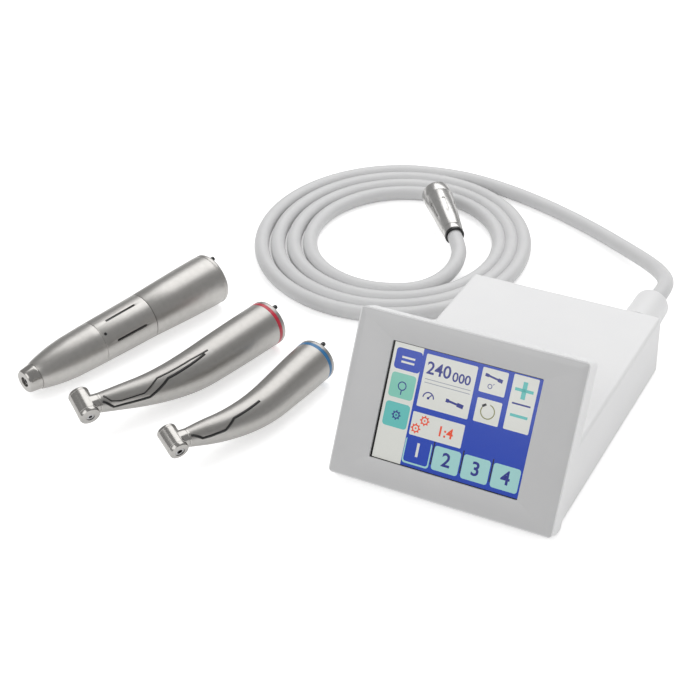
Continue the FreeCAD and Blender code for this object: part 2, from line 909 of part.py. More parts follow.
# Bracket: a foot on the base plate and a flange that backs the shell
bracket = keep(new_body("display_bracket"))
flange_gap = S["screw_gap"]
thick = S["bracket_depth"]
foot_level = base_top
low_y = back_y(foot_level, flange_gap)
high_y = back_y(S["bracket_top"], flange_gap)
side_view = sketch_in(bracket, "YZ_Plane", [[
    (low_y, foot_level),
    (low_y + S["bracket_foot"] + thick, foot_level),
    (low_y + S["bracket_foot"] + thick, foot_level + thick),
    (back_y(foot_level + thick, flange_gap + thick), foot_level + thick),
    (back_y(S["bracket_top"], flange_gap + thick), S["bracket_top"]),
    (high_y, S["bracket_top"])]])
bracket_half = inner_half - S["bracket_gap"]
pad(bracket, side_view, bracket_half * 2, both=True)
foot_holes = sketch_in(bracket, "XY_Plane", circles=[
    (side * S["bracket_foot_x"], bracket_foot_y, S["inner_screw_radius"] + S["screw_gap"])
    for side in (1, -1)], level=foot_level + thick)
pocket(bracket, foot_holes, thick)
doc.recompute()
flange_tools = []
for across, along in bracket_spots:
    flange_tools.append(cylinder(
        "flange_bore", S["inner_screw_radius"] + S["screw_gap"], thick * 3,
        (across, along, -S["shell_depth"] - thick * 2), UP, panel))
bracket.Label = "display_bracket_form"
nodes.remove(bracket)
keep(combine("display_bracket", "Cut", bracket, flange_tools))

# Main board with its parts, and the screws shared by board and bracket
board = keep(new_body("main_board"))
sheet_outline = sketch_in(board, "XY_Plane", [[
    (-S["board_width"] / 2, -S["board_front"]), (S["board_width"] / 2, -S["board_front"]),
    (S["board_width"] / 2, S["board_rear"]), (-S["board_width"] / 2, S["board_rear"])]],
    level=board_level)
pad(board, sheet_outline, S["board_depth"])
chips = sketch_in(board, "XY_Plane", [
    rectangle(as_size(-17), as_size(20), as_size(20), as_size(16)),
    rectangle(as_size(-20), as_size(-8), as_size(14), as_size(14)),
    rectangle(as_size(12), as_size(-18), as_size(26), as_size(7)),
], circles=[
    (as_size(-1), as_size(-4), as_size(3.2)),
    (as_size(7), as_size(-4), as_size(3.2)),
], level=board_top)
pad(board, chips, S["chip_depth"])
board_holes = sketch_in(board, "XY_Plane", circles=[
    (across, along, S["inner_screw_radius"] + S["screw_gap"])
    for across, along in standoff_spots], level=board_top)
pocket(board, board_holes, S["board_depth"])

inner_screw = screw_form(
    "inner_screw_form", S["inner_screw_radius"], S["inner_screw_head"], S["inner_screw_cap"],
    S["inner_screw_length"])
short_screw = screw_form(
    "short_screw_form", S["inner_screw_radius"], S["inner_screw_head"], S["inner_screw_cap"],
    S["bracket_depth"] + S["base_depth"] * 0.7)
keep(group("board_screws", inner_screw, [
    at(across, along, board_top + S["inner_screw_cap"], DOWN)
    for across, along in standoff_spots]))
bracket_places = [
    panel.multiply(at(
        across, along, -S["shell_depth"] - flange_gap - thick - S["inner_screw_cap"], UP))
    for across, along in bracket_spots]
bracket_screws_up = group("bracket_screws_up", inner_screw, bracket_places)
bracket_screws_low = group("bracket_screws_low", short_screw, [
    at(side * S["bracket_foot_x"], bracket_foot_y,
       foot_level + thick + S["inner_screw_cap"], DOWN) for side in (1, -1)])
bracket_screws = doc.addObject("Part::Compound", "bracket_screws")
bracket_screws.Label = "bracket_screws"
bracket_screws.Links = [bracket_screws_up, bracket_screws_low]
keep(bracket_screws)

# Heat sink: a base on the board and a row of fins
sink = keep(new_body("heat_sink"))
sink_low = S["sink_y"] - S["sink_length"] / 2
sink_left = S["sink_x"] - S["sink_width"] / 2
sink_base = sketch_in(sink, "XY_Plane", [rectangle(
    S["sink_x"], S["sink_y"], S["sink_width"], S["sink_length"])], level=board_top)
pad(sink, sink_base, S["sink_base"])
fin_sketch = sketch_in(sink, "XY_Plane", [rectangle(
    sink_left + S["fin_depth"] / 2, S["sink_y"], S["fin_depth"], S["sink_length"])],
    level=board_top + S["sink_base"])
fin = pad(sink, fin_sketch, S["fin_height"])
fins = sink.newObject("PartDesign::LinearPattern", "fins")
fins.Originals = [fin]
fin_axis = next(item for item in sink.Origin.OriginFeatures if item.Role == "X_Axis")
fins.Direction = (fin_axis, [""])
bind(fins, "Length", S["sink_width"] - S["fin_depth"])
fins.Occurrences = whole("fin_count")
sink.Tip = fins

# Rear ports; local X points out of the rear wall from its outer face
keep(turned("power_inlet", [
    (-S["inlet_length"], 0), (-S["inlet_length"], S["inlet_radius"]), (0, S["inlet_radius"]),
    (0, S["inlet_flange"]), (S["bezel_lip"], S["inlet_flange"]),
    (S["bezel_lip"], S["inlet_bore"]), (S["inlet_bore"] - S["inlet_length"], S["inlet_bore"]),
    (S["inlet_bore"] - S["inlet_length"], S["inlet_pin"]), (-S["bezel_lip"], S["inlet_pin"]),
    (-S["bezel_lip"], 0)], at(-S["inlet_x"], S["cover_rear"], S["port_level"], REAR)))
stem_end = -S["inlet_length"] / 2
flange_out = S["tube_wall"] * 2
keep(turned("air_inlet", [
    (stem_end - S["barb_length"], S["air_bore"]), (stem_end - S["barb_length"], S["barb_radius"]),
    (stem_end, S["barb_radius"]), (stem_end, S["air_stem"]), (0, S["air_stem"]),
    (0, S["air_flange"]), (flange_out, S["air_flange"]), (flange_out, S["air_radius"]),
    (flange_out + S["air_length"], S["air_radius"]), (flange_out + S["air_length"], S["air_bore"]),
    ], at(-S["air_x"], S["cover_rear"], S["port_level"], REAR)))
nozzle_start = S["sensor_y"] + S["sensor_length"]
nozzle_end = nozzle_start + S["sensor_nozzle"]
sensor_block = box(
    "sensor_block", S["sensor_width"], S["sensor_length"], S["sensor_height"],
    (-S["air_x"] - S["sensor_width"] / 2, S["sensor_y"], board_top))
sensor_nozzle = cylinder(
    "sensor_nozzle", S["barb_radius"], S["sensor_nozzle"] + S["sensor_length"] / 2,
    (-S["air_x"], nozzle_start - S["sensor_length"] / 2, S["port_level"]), REAR)
sensor_port = cylinder(
    "sensor_port", S["air_bore"] * 0.8, S["sensor_nozzle"] + S["sensor_length"] / 4,
    (-S["air_x"], nozzle_start - S["sensor_length"] / 4, S["port_level"]), REAR)
sensor_body = combine("sensor_body", "Fuse", sensor_block, [sensor_nozzle])
keep(combine("pressure_sensor", "Cut", sensor_body, [sensor_port]))
tube_bore = S["barb_radius"] + S["tube_gap"]
tube_start = nozzle_start + S["tube_gap"] * 4
tube_end = S["cover_rear"] + stem_end - S["tube_gap"] * 4
tube_hose = cylinder(
    "tube_hose", tube_bore + S["tube_wall"], tube_end - tube_start,
    (-S["air_x"], tube_start, S["port_level"]), REAR)
tube_hollow = cylinder(
    "tube_hollow", tube_bore, tube_end - tube_start, (-S["air_x"], tube_start, S["port_level"]),
    REAR)
keep(combine("air_tube", "Cut", tube_hose, [tube_hollow]))

# Hose gland and its nut
hose_radius = S["hose_diameter"] / 2
seat_radius = hose_radius + S["gland_gap"]
gland_place = at(S["gland_x"], S["cover_rear"], S["gland_level"], REAR)
keep(turned("hose_gland", [
    (-S["gland_stem_length"], S["gland_bore"]), (-S["gland_stem_length"], S["gland_stem"]),
    (0, S["gland_stem"]), (0, S["gland_radius"]),
    (S["gland_length"] - S["gland_rounding"], S["gland_end"], -S["gland_rounding"]),
    (S["gland_length"], S["gland_end"] - S["gland_rounding"]), (S["gland_length"], seat_radius),
    (S["gland_length"] - S["gland_seat"], seat_radius),
    (S["gland_length"] - S["gland_seat"], S["gland_bore"])], gland_place))
nut_block = doc.addObject("Part::Prism", "nut_block")
nut_block.Polygon = 6
bind(nut_block, "Circumradius", S["nut_flats"] / 2 / cosine(as_size(30)))
bind(nut_block, "Height", S["nut_depth"])
nut_place = at(S["gland_x"], inner_rear - S["nut_depth"], S["gland_level"])
nut_block.Placement = nut_place.multiply(Placement(Vector(), Rotation(Vector(1, 0, 0), -90)))
nut_hole = cylinder(
    "nut_hole", S["gland_stem"] + S["tube_gap"], S["nut_depth"],
    (S["gland_x"], inner_rear - S["nut_depth"], S["gland_level"]), REAR)
keep(combine("gland_nut", "Cut", nut_block, [nut_hole]))

# Hose. The coil is a flat spiral that a slightly stretched circle carries; angles in degrees.
COIL_START = 96.0
COIL_SWEEP = 1274.0
LONG_WAY = Vector(-0.486, 0.874, 0).normalize()
SHORT_WAY = Vector(0.874, 0.486, 0).normalize()


def coil_point(angle, offset=0.0):
    share = (angle - COIL_START) / 360.0
    radius = float(S["coil_radius"]) - float(S["hose_diameter"]) * share
    ray = Vector(math.cos(math.radians(angle)), math.sin(math.radians(angle)), 0)
    drift = float(S["coil_drift"]) * (angle - COIL_START) / COIL_SWEEP
    middle = Vector(-float(S["coil_x"]) + drift, float(S["coil_y"]), float(S["hose_level"]))
    along = LONG_WAY * (ray.dot(LONG_WAY) * float(S["coil_long"]))
    across = SHORT_WAY * (ray.dot(SHORT_WAY) * float(S["coil_short"]))
    spot = middle + (along + across) * radius
    if offset:
        ahead = coil_point(angle + 0.05)
        behind = coil_point(angle - 0.05)
        way = (ahead - behind).normalize()
        spot = spot + Vector(way.y, -way.x, 0) * offset
    return spot


def coil_heading(angle):
    return (coil_point(angle + 0.05) - coil_point(angle - 0.05)).normalize()


def coil_edge(first, offset):
    spots = [coil_point(first + 15.0 * step, offset) for step in range(25)]
    floor = [Vector(spot.x, spot.y, spot.z - float(hose_radius)) for spot in spots]
    curve = Part.BSplineCurve()
    curve.interpolate(floor)
    return [curve.toShape(), Part.LineSegment(floor[-1], floor[0]).toShape()]


coil_end = COIL_START + COIL_SWEEP
outer_wire = Part.Wire(coil_edge(COIL_START, float(hose_radius)))
inner_wire = Part.Wire(coil_edge(coil_end - 360.0, -float(hose_radius)))
ring = Part.Face(outer_wire).cut(Part.Face(inner_wire))
keep(feature("hose_coil", ring.extrude(Vector(0, 0, float(S["hose_diameter"]))).Solids[0]))


def route_wire(points, label):
    # straight runs joined by tangent arcs; each arc takes 0.45 of the shorter run beside it
    edges = []
    last = points[0]
    radii = []
    for index in range(1, len(points) - 1):
        before = points[index] - points[index - 1]
        after = points[index + 1] - points[index]
        turn = before.getAngle(after)
        reach = 0.45 * min(before.Length, after.Length)
        radii.append(reach / math.tan(turn / 2))
        enter = points[index] - Vector(before).normalize() * reach
        leave = points[index] + Vector(after).normalize() * reach
        inside = (enter + leave) * 0.5 - points[index]
        depth = radii[-1] / math.cos(turn / 2) - radii[-1]
        middle = points[index] + Vector(inside).normalize() * depth
        edges.append(Part.LineSegment(last, enter).toShape())
        edges.append(Part.Arc(enter, middle, leave).toShape())
        last = leave
    edges.append(Part.LineSegment(last, points[-1]).toShape())
    print(label, "radii", [round(radius, 1) for radius in radii])
    return Part.Wire(edges)


def hose_tube(label, points):
    wire = route_wire(points, label)
    start = points[0]
    way = (points[1] - points[0]).normalize()
    rim = Part.Wire([Part.Circle(start, way, float(hose_radius)).toShape()])
    tube = wire.makePipeShell([rim], True, False)
    section = math.pi * float(hose_radius) ** 2 * wire.Length
    print(label, "volume", round(tube.Volume, 1), "section times length", round(section, 1))
    return feature(label, tube)


gland_mouth = float(S["cover_rear"] + S["gland_length"])
gland_floor = gland_mouth - float(S["gland_seat"])
gland_at = Vector(float(S["gland_x"]), gland_floor, float(S["gland_level"]))
coil_first = coil_point(COIL_START)
LEAD = [
    Vector(34.2, 88.0, 20.0), Vector(35.0, 99.5, 19.6), Vector(32.8, 113.5, 16.5),
    Vector(25.6, 128.5, 11.4), Vector(14.0, 142.5, 7.2), Vector(-3.0, 155.0, 5.0),
    Vector(-25.0, 168.0, 4.0), Vector(-50.0, 179.0, 3.85), Vector(-75.0, 187.0, 3.85),
]
lead_points = [gland_at] + LEAD + [coil_first - coil_heading(COIL_START) * 21.0, coil_first]
keep(hose_tube("hose_lead", lead_points))

# Tail of the hose and the coupling; the coupling's local X runs from its small end to its port
coupling_way = Vector(-25.1, 30.9, 4.2).normalize()
tail_start = coil_point(coil_end)
TAIL_STEP = 8.9
tail_points = [tail_start]
heading = coil_heading(coil_end)
first_turn = math.degrees(math.atan2(heading.y, heading.x)) + 6.0
last_turn = math.degrees(math.atan2(coupling_way.y, coupling_way.x))
TAIL_LEVELS = [3.85, 4.2, 5.1, 6.4, 8.0, 9.6]
for step in range(6):
    angle = math.radians(first_turn + (last_turn - first_turn) * step / 6.0)
    spot = tail_points[-1] + Vector(math.cos(angle), math.sin(angle), 0) * TAIL_STEP
    tail_points.append(Vector(spot.x, spot.y, TAIL_LEVELS[step]))
coupling_start = tail_points[-1] + coupling_way * 9.0
coupling_place = Placement(coupling_start, Rotation(Vector(1, 0, 0), coupling_way))
tail_points.append(coupling_start + coupling_way * float(S["coupling_seat"]))
keep(hose_tube("hose_tail", tail_points))

small = S["coupling_small"]
large = S["coupling_large"]
length = S["coupling_length"]
flange_at = length - S["coupling_flange"]
slope = (large - small) / (flange_at - S["coupling_ring"])


def cone_radius(place):
    return small + slope * (place - S["coupling_ring"])


ring_end = S["coupling_ring"]
neck_radius = seat_radius + S["coupling_wall"]
port_floor = length - S["port_depth"]
core_end = port_floor - S["insert_depth"]
nut_start = S["coupling_tail"]
nose_round = S["coupling_rounding"]
keep(turned("coupling_body", [
    (ring_end, seat_radius), (ring_end, small), (nut_start, cone_radius(nut_start)),
    (nut_start, neck_radius), (S["coupling_neck"], neck_radius),
    (S["coupling_neck"], S["coupling_core"]), (flange_at, S["coupling_core"]),
    (flange_at, large), (length - nose_round, large, -nose_round),
    (length, large - nose_round), (length, S["motor_port"]), (port_floor, S["motor_port"]),
    (port_floor, S["insert_radius"] + S["insert_gap"]),
    (core_end, S["insert_radius"] + S["insert_gap"]), (core_end, 0),
    (S["coupling_seat"], 0), (S["coupling_seat"], seat_radius)], coupling_place))
nut_end = flange_at - S["coupling_seam"]
nut_low = nut_start + S["coupling_seam"]
coupling_nut = keep(new_body("coupling_nut"))
turn_axis(coupling_nut, [
    (nut_low, neck_radius + S["nut_running"]), (nut_low, cone_radius(nut_low)),
    (nut_end, cone_radius(nut_end)), (nut_end, S["coupling_core"] + S["nut_running"]),
    (S["coupling_neck"] - S["coupling_seam"], S["coupling_core"] + S["nut_running"]),
    (S["coupling_neck"] - S["coupling_seam"], neck_radius + S["nut_running"])])
doc.recompute()
grip_middle = (nut_low + nut_end) / 2 + S["coupling_ring"]
grip_sketch = sketch_in(coupling_nut, "XY_Plane", [rectangle(
    grip_middle, zero, S["gland_length"] / 2, S["grip_width"])],
    level=cone_radius(grip_middle) - S["grip_depth"])
grip = pocket(coupling_nut, grip_sketch, S["grip_depth"] * 4, flip=True)
doc.recompute()
round_pattern(coupling_nut, grip, whole("grip_count"))
coupling_nut.Placement = coupling_place
keep(turned("coupling_ring", [
    (0, seat_radius), (0, small), (ring_end, small), (ring_end, seat_radius)], coupling_place))
keep(turned("coupling_insert", [
    (core_end, 0), (core_end, S["insert_radius"]), (port_floor, S["insert_radius"]),
    (port_floor, S["insert_radius"] * 0.6),
    (port_floor - S["insert_depth"] / 3, S["insert_radius"] * 0.6),
    (port_floor - S["insert_depth"] / 3, S["insert_radius"] * 0.3),
    (port_floor, S["insert_radius"] * 0.3), (port_floor, 0)], coupling_place))


def table_pose(middle, heading_angle, pitch, roll, stations, chord_start, chord_length):
    # lays a handpiece on the table: the middle of its length stays at the chosen spot
    turn = math.radians(heading_angle)
    lean_down = math.radians(pitch)
    ahead = Vector(math.cos(turn) * math.cos(lean_down), math.sin(turn) * math.cos(lean_down),
                   -math.sin(lean_down))
    left = Vector(-math.sin(turn), math.cos(turn), 0)
    upward = ahead.cross(left)
    side = left
    top = upward
    if roll is not None:
        swing = math.radians(roll)
        side = left * (-math.cos(swing)) + upward * math.sin(swing)
        top = ahead.cross(side)
    height = max(
        radius * math.cos(lean_down) + place * math.sin(lean_down) for place, radius in stations)
    start = Vector(middle.x, middle.y, 0) + chord_start * (chord_length / 2)
    start.z = height + float(S["table_touch"])
    matrix = FreeCAD.Matrix(
        ahead.x, side.x, top.x, start.x,
        ahead.y, side.y, top.y, start.y,
        ahead.z, side.z, top.z, start.z,
        0, 0, 0, 1)
    return Placement(matrix)


# Straight handpiece: local X from its rear rim to its nose
straight_stations = [(zero, S["straight_rim"] - 1), (as_size(1), S["straight_rim"])] + [
    (S[f"rear_place_{step}"], S[f"rear_radius_{step}"]) for step in (1, 2, 3)]
front_stations = [
    (S[f"front_place_{step}"], S[f"front_radius_{step}"]) for step in (1, 2, 3, 4, 5)]
STRAIGHT_MIDDLE = Vector(-float(S["straight_spot_x"]), -float(S["straight_spot_y"]), 0)
STRAIGHT_HEADING = -107.0
back_way = Vector(-math.cos(math.radians(STRAIGHT_HEADING)),
                  -math.sin(math.radians(STRAIGHT_HEADING)), 0)
straight = table_pose(
    STRAIGHT_MIDDLE, STRAIGHT_HEADING, float(S["straight_pitch"]), None,
    [(float(place), float(radius)) for place, radius in straight_stations + front_stations],
    back_way, float(S["straight_length"]))
collar_start = S["straight_collar"]
front_start = S["straight_front"]
nose_start = S["straight_length"] - S["straight_nose"]
socket = S["motor_socket"]
socket_end = S["socket_depth"]
rear_body = keep(new_body("straight_rear_sleeve"))
turn_axis(rear_body, [(zero, socket)] + straight_stations + [
    (collar_start - S["seam_gap"], S["collar_rear"]),
    (collar_start - S["seam_gap"], S["shell_bore"]), (socket_end, S["shell_bore"]),
    (socket_end, socket)])
doc.recompute()
pin_hole = sketch_in(rear_body, "YZ_Plane", circles=[
    (zero, S["index_place"], S["index_radius"] + S["screw_gap"])])
pocket(rear_body, pin_hole, S["index_seat"], flip=True)
rear_body.Placement = straight
collar = keep(new_body("straight_twist_collar"))
turn_axis(collar, [
    (collar_start, S["shell_bore"]), (collar_start, S["collar_rear"] - S["seam_gap"]),
    (collar_start + S["seam_gap"], S["collar_rear"]),
    (front_start - S["seam_gap"] * 2, S["collar_front"]),
    (front_start - S["seam_gap"], S["collar_front"] - S["seam_gap"]),
    (front_start - S["seam_gap"], S["shell_bore"])])
doc.recompute()
flute_middle = (collar_start + front_start) / 2
flute_radius = (S["collar_rear"] + S["collar_front"]) / 2
flute_sketch = sketch_in(collar, "XY_Plane", [rectangle(
    flute_middle, zero, S["flute_length"], S["flute_width"])],
    level=flute_radius - S["flute_depth"])
flute = pocket(collar, flute_sketch, S["flute_depth"] * 4, flip=True)
doc.recompute()
round_pattern(collar, flute, whole("flute_count"))
collar.Placement = straight
keep(turned("straight_front_sleeve", [
    (front_start, S["shell_bore"]), (front_start, S["collar_front"])] + front_stations + [
    (nose_start, S["nose_shoulder"]), (nose_start, S["nose_bore"]),
    (S["frame_end"] + S["seam_gap"], S["nose_bore"]),
    (S["frame_end"] + S["seam_gap"], S["frame_nose"] + S["frame_gap"]),
    (S["frame_step"] + S["seam_gap"], S["frame_nose"] + S["frame_gap"]),
    (S["frame_step"] + S["seam_gap"], S["shell_bore"])], straight))
nose_hole = S["spindle_radius"] + S["spindle_nose_gap"]
keep(turned("straight_nose_collar", [
    (nose_start, nose_hole), (nose_start, S["nose_rim"]), (nose_start + 1.2, S["nose_middle"]),
    (S["straight_length"] - 0.8, S["nose_edge"]), (S["straight_length"], S["nose_tip"]),
    (S["straight_length"], nose_hole)], straight))
frame_outer = S["shell_bore"] - S["frame_gap"]
keep(turned("straight_frame", [
    (S["frame_start"], S["frame_bore"]), (S["frame_start"], frame_outer),
    (S["frame_step"], frame_outer), (S["frame_step"], S["frame_nose"]),
    (S["frame_end"], S["frame_nose"]), (S["frame_end"], S["frame_bore"])], straight))
spindle_start = S["frame_start"] + S["bearing_gap"] * 10
dog_start = socket_end + 0.5
dog_end = dog_start + S["dog_length"]
tail_radius = S["spindle_radius"] * 0.6
spindle_end = S["straight_length"] - 1
keep(turned("straight_spindle", [
    (spindle_start, zero), (spindle_start, tail_radius), (dog_end, tail_radius),
    (dog_end, S["spindle_radius"]), (spindle_end, S["spindle_radius"]),
    (spindle_end, S["chuck_radius"]), (spindle_end - S["chuck_depth"], S["chuck_radius"]),
    (spindle_end - S["chuck_depth"], zero)], straight))
race_inner = S["spindle_radius"] + S["bearing_gap"]
race_outer = S["frame_bore"] - S["bearing_seat"]
race = turned("race_form", [
    (zero, race_inner), (zero, race_outer), (S["bearing_width"], race_outer),
    (S["bearing_width"], race_inner)])
keep(group("straight_bearings", race, [
    straight.multiply(at(dog_end + S["bearing_width"] / 2, 0, 0)),
    straight.multiply(at(S["frame_end"] - S["bearing_width"] - 0.5, 0, 0))]))
dog = keep(new_body("straight_drive_dog"))
turn_axis(dog, [
    (dog_start, zero), (dog_start, S["dog_radius"]), (dog_end, S["dog_radius"]),
    (dog_end, tail_radius + S["tube_gap"]),
    (spindle_start - S["tube_gap"], tail_radius + S["tube_gap"]),
    (spindle_start - S["tube_gap"], zero)])
doc.recompute()
slot = sketch_in(dog, "XY_Plane", [[
    (dog_start - 1, -S["dog_slot"] / 2), (dog_start + 1, -S["dog_slot"] / 2),
    (dog_start + 1, S["dog_slot"] / 2), (dog_start - 1, S["dog_slot"] / 2)]])
pocket(dog, slot, S["dog_radius"] * 3, both=True)
dog.Placement = straight
keep(cylinder(
    "straight_index_pin", S["index_radius"], S["index_seat"] + S["index_proud"],
    (-S["index_proud"], 0, S["index_place"]), (1, 0, 0), straight))


# Bevel gears: apex at the local origin, axis along X, teeth on the -X side
def bevel_gear(teeth, pitch_radius, half_angle, share, phase, back):
    height = float(S["tooth_height"])
    root = float(S["tooth_root"])
    distance = pitch_radius / math.tan(math.radians(half_angle))
    lean_gear = math.radians(half_angle)
    tip_radius = pitch_radius + height * math.cos(lean_gear)
    root_radius = pitch_radius - root * math.cos(lean_gear)
    blank = Part.makeCone(
        root_radius, root_radius * share, distance * (1 - share), Vector(-distance, 0, 0),
        Vector(1, 0, 0))
    hub = Part.makeCylinder(root_radius, back, Vector(-distance - back, 0, 0), Vector(1, 0, 0))
    solid = blank.fuse(hub)
    pitch = 2 * math.pi / teeth
    half = pitch * float(S["tooth_share"]) / 2
    cut_teeth = []
    for index in range(teeth):
        middle = math.radians(phase) + index * pitch
        rings = []
        for scale in (1.0, share):
            spots = []
            for radius, width in (
                    (root_radius * 0.94, half * 1.5), (pitch_radius, half), (tip_radius, half * 0.6)):
                spots.append((radius * scale, width))
            outline = []
            for radius, width in spots:
                outline.append((radius, middle - width))
            for radius, width in reversed(spots):
                outline.append((radius, middle + width))
            corners = [
                Vector(-distance * scale, radius * math.cos(angle), radius * math.sin(angle))
                for radius, angle in outline]
            rings.append(Part.makePolygon(corners + [corners[0]]))
        cut_teeth.append(Part.makeLoft(rings, True, True))
    return solid.fuse(cut_teeth).removeSplitter().Solids[0]


def rod(radius, start, stop):
    return Part.makeCylinder(radius, stop - start, Vector(start, 0, 0), Vector(1, 0, 0))


def profile_radius(stations, place):
    # smooth curve through the stations of (place, radius)
    last = len(stations) - 1
    index = 0
    while index < last - 1 and float(stations[index + 1][0]) <= place:
        index += 1

    def tangent_at(item):
        low = max(item - 1, 0)
        high = min(item + 1, last)
        gap = float(stations[high][0]) - float(stations[low][0])
        return (stations[high][1] - stations[low][1]) / gap

    start = float(stations[index][0])
    span = float(stations[index + 1][0]) - start
    part = (place - start) / span
    return (
        stations[index][1] * (2 * part ** 3 - 3 * part ** 2 + 1)
        + tangent_at(index) * (span * (part ** 3 - 2 * part ** 2 + part))
        + stations[index + 1][1] * (3 * part ** 2 - 2 * part ** 3)
        + tangent_at(index + 1) * (span * (part ** 3 - part ** 2)))


def contra_angle(colour, middle, heading_angle):
    def own(name):
        return S[f"{colour}_{name}"]

    stations = [(zero, own("rim"))] + [
        (own(f"{name}_place"), own(name))
        for name in ("grip", "waist", "elbow", "taper", "throat", "collar")]
    corner = float(own("corner"))
    bend = float(own("bend"))
    neck = float(own("neck"))
    tangent = float(own("tangent"))
    swing = math.radians(bend)
    arc_radius = tangent / math.tan(swing / 2)
    arc_length = arc_radius * swing
    roll = float(S["roll"])
    head_x = corner + neck * math.cos(swing)
    head_y = neck * math.sin(swing)
    reach = math.hypot(head_x, head_y * math.cos(math.radians(roll)))
    off = math.degrees(math.atan2(head_y * math.cos(math.radians(roll)), head_x))
    chord_way = math.radians(heading_angle)
    pose = table_pose(
        middle, heading_angle + off, 0.0, roll,
        [(float(place), float(radius)) for place, radius in stations[:2]],
        Vector(-math.cos(chord_way), -math.sin(chord_way), 0), reach)
    elbow = pose.multiply(Placement(Vector(corner, 0, 0), Rotation(Vector(0, 0, 1), bend)))
    head_frame = elbow.multiply(Placement(Vector(neck, 0, 0), Rotation()))

    def centreline(place):
        if place <= corner - tangent:
            return Vector(place, 0, 0), 0.0
        if place <= corner - tangent + arc_length:
            angle = (place - corner + tangent) / arc_radius
            return Vector(corner - tangent + arc_radius * math.sin(angle),
                          arc_radius * (1 - math.cos(angle)), 0), math.degrees(angle)
        rest = place - (corner - tangent + arc_length) - (neck - tangent)
        return Vector(head_x + rest * math.cos(swing), head_y + rest * math.sin(swing), 0), bend

    total = corner - tangent + arc_length + neck - tangent
    loft_end = total - float(S["stub_length"])
    sections = []
    stations.append((as_size(loft_end), own("stub")))
    steps = int(round(loft_end / float(S["section_step"])))
    rows = []
    for step in range(steps + 1):
        place = loft_end * step / steps
        rows.append((place, profile_radius(stations, place)))
    for place, radius in rows:
        spot, angle = centreline(place)
        section = doc.addObject("Part::Circle", f"{colour}_section")
        bind(section, "Radius", radius)
        facing = Rotation(Vector(0, 0, 1), angle).multiply(Rotation(Vector(0, 1, 0), 90))
        section.Placement = pose.multiply(Placement(spot, facing))
        sections.append(section)
    outer = doc.addObject("Part::Loft", f"{colour}_handle_outer")
    outer.Sections = sections
    outer.Solid = True
    outer.Ruled = False

    bearing_hole = S["rear_bearing_radius"] + S["bearing_seat"]
    gear_place = own("corner") - own("gear_place") * 1.0
    chamber_start = gear_place - 4
    chamber_end = gear_place + 4
    bearing_one = S["socket_depth"] + 2
    bearing_two = chamber_start - S["rear_bearing_width"]
    tools = [
        cylinder(f"{colour}_socket", socket, socket_end + 1, (-1, 0, 0), (1, 0, 0), pose),
        cylinder(f"{colour}_seat_one", bearing_hole, S["rear_bearing_width"] + 2.2,
                 (socket_end - 0.2, 0, 0), (1, 0, 0), pose),
        cylinder(f"{colour}_shaft_way", S["shaft_bore"], chamber_start - socket_end,
                 (socket_end, 0, 0), (1, 0, 0), pose),
        cylinder(f"{colour}_seat_two", bearing_hole, S["rear_bearing_width"] + 0.5,
                 (bearing_two, 0, 0), (1, 0, 0), pose),
        cylinder(f"{colour}_gear_room", own("chamber"), chamber_end - chamber_start,
                 (chamber_start, 0, 0), (1, 0, 0), pose),
        cylinder(f"{colour}_neck_way", S["neck_bore"],
                 own("gear_place") + own("neck") + 2.5,
                 (-own("gear_place") - 2.5, 0, 0), (1, 0, 0), elbow),
        cylinder(f"{colour}_counterbore", own("stub") - S["spigot_wall"] + S["spigot_gap"],
                 S["spigot_length"] + 1,
                 (own("neck") - S["stub_length"] - S["spigot_length"], 0, 0), (1, 0, 0), elbow),
    ]
    ring_outer = float(stations[0][1])
    index_depth = S["ring_place"] * 0.85
    index_tool = cylinder(
        f"{colour}_index_hole", S["index_radius"] + S["screw_gap"], index_depth + 1,
        (-1, 0, -own("index")), (1, 0, 0), pose)
    groove_blank = cylinder(
        f"{colour}_groove_blank", as_size(ring_outer + 2), S["ring_width"],
        (S["ring_place"], 0, 0), (1, 0, 0), pose)
    groove_core = cylinder(
        f"{colour}_groove_core", as_size(ring_outer) - S["ring_depth"], S["ring_width"] + 2,
        (S["ring_place"] - 1, 0, 0), (1, 0, 0), pose)
    groove = combine(f"{colour}_groove", "Cut", groove_blank, [groove_core])
    keep(carve(f"{colour}_handle", outer, tools + [index_tool, groove]))
    keep(turned(f"{colour}_colour_ring", [
        (S["ring_place"], as_size(ring_outer) - S["ring_depth"]),
        (S["ring_place"], stations[0][1]),
        (S["ring_place"] + S["ring_width"], stations[0][1]),
        (S["ring_place"] + S["ring_width"], as_size(ring_outer) - S["ring_depth"])], pose))
    keep(cylinder(
        f"{colour}_index_pin", S["index_radius"], index_depth + S["index_proud"],
        (-S["index_proud"], 0, -own("index")), (1, 0, 0), pose))

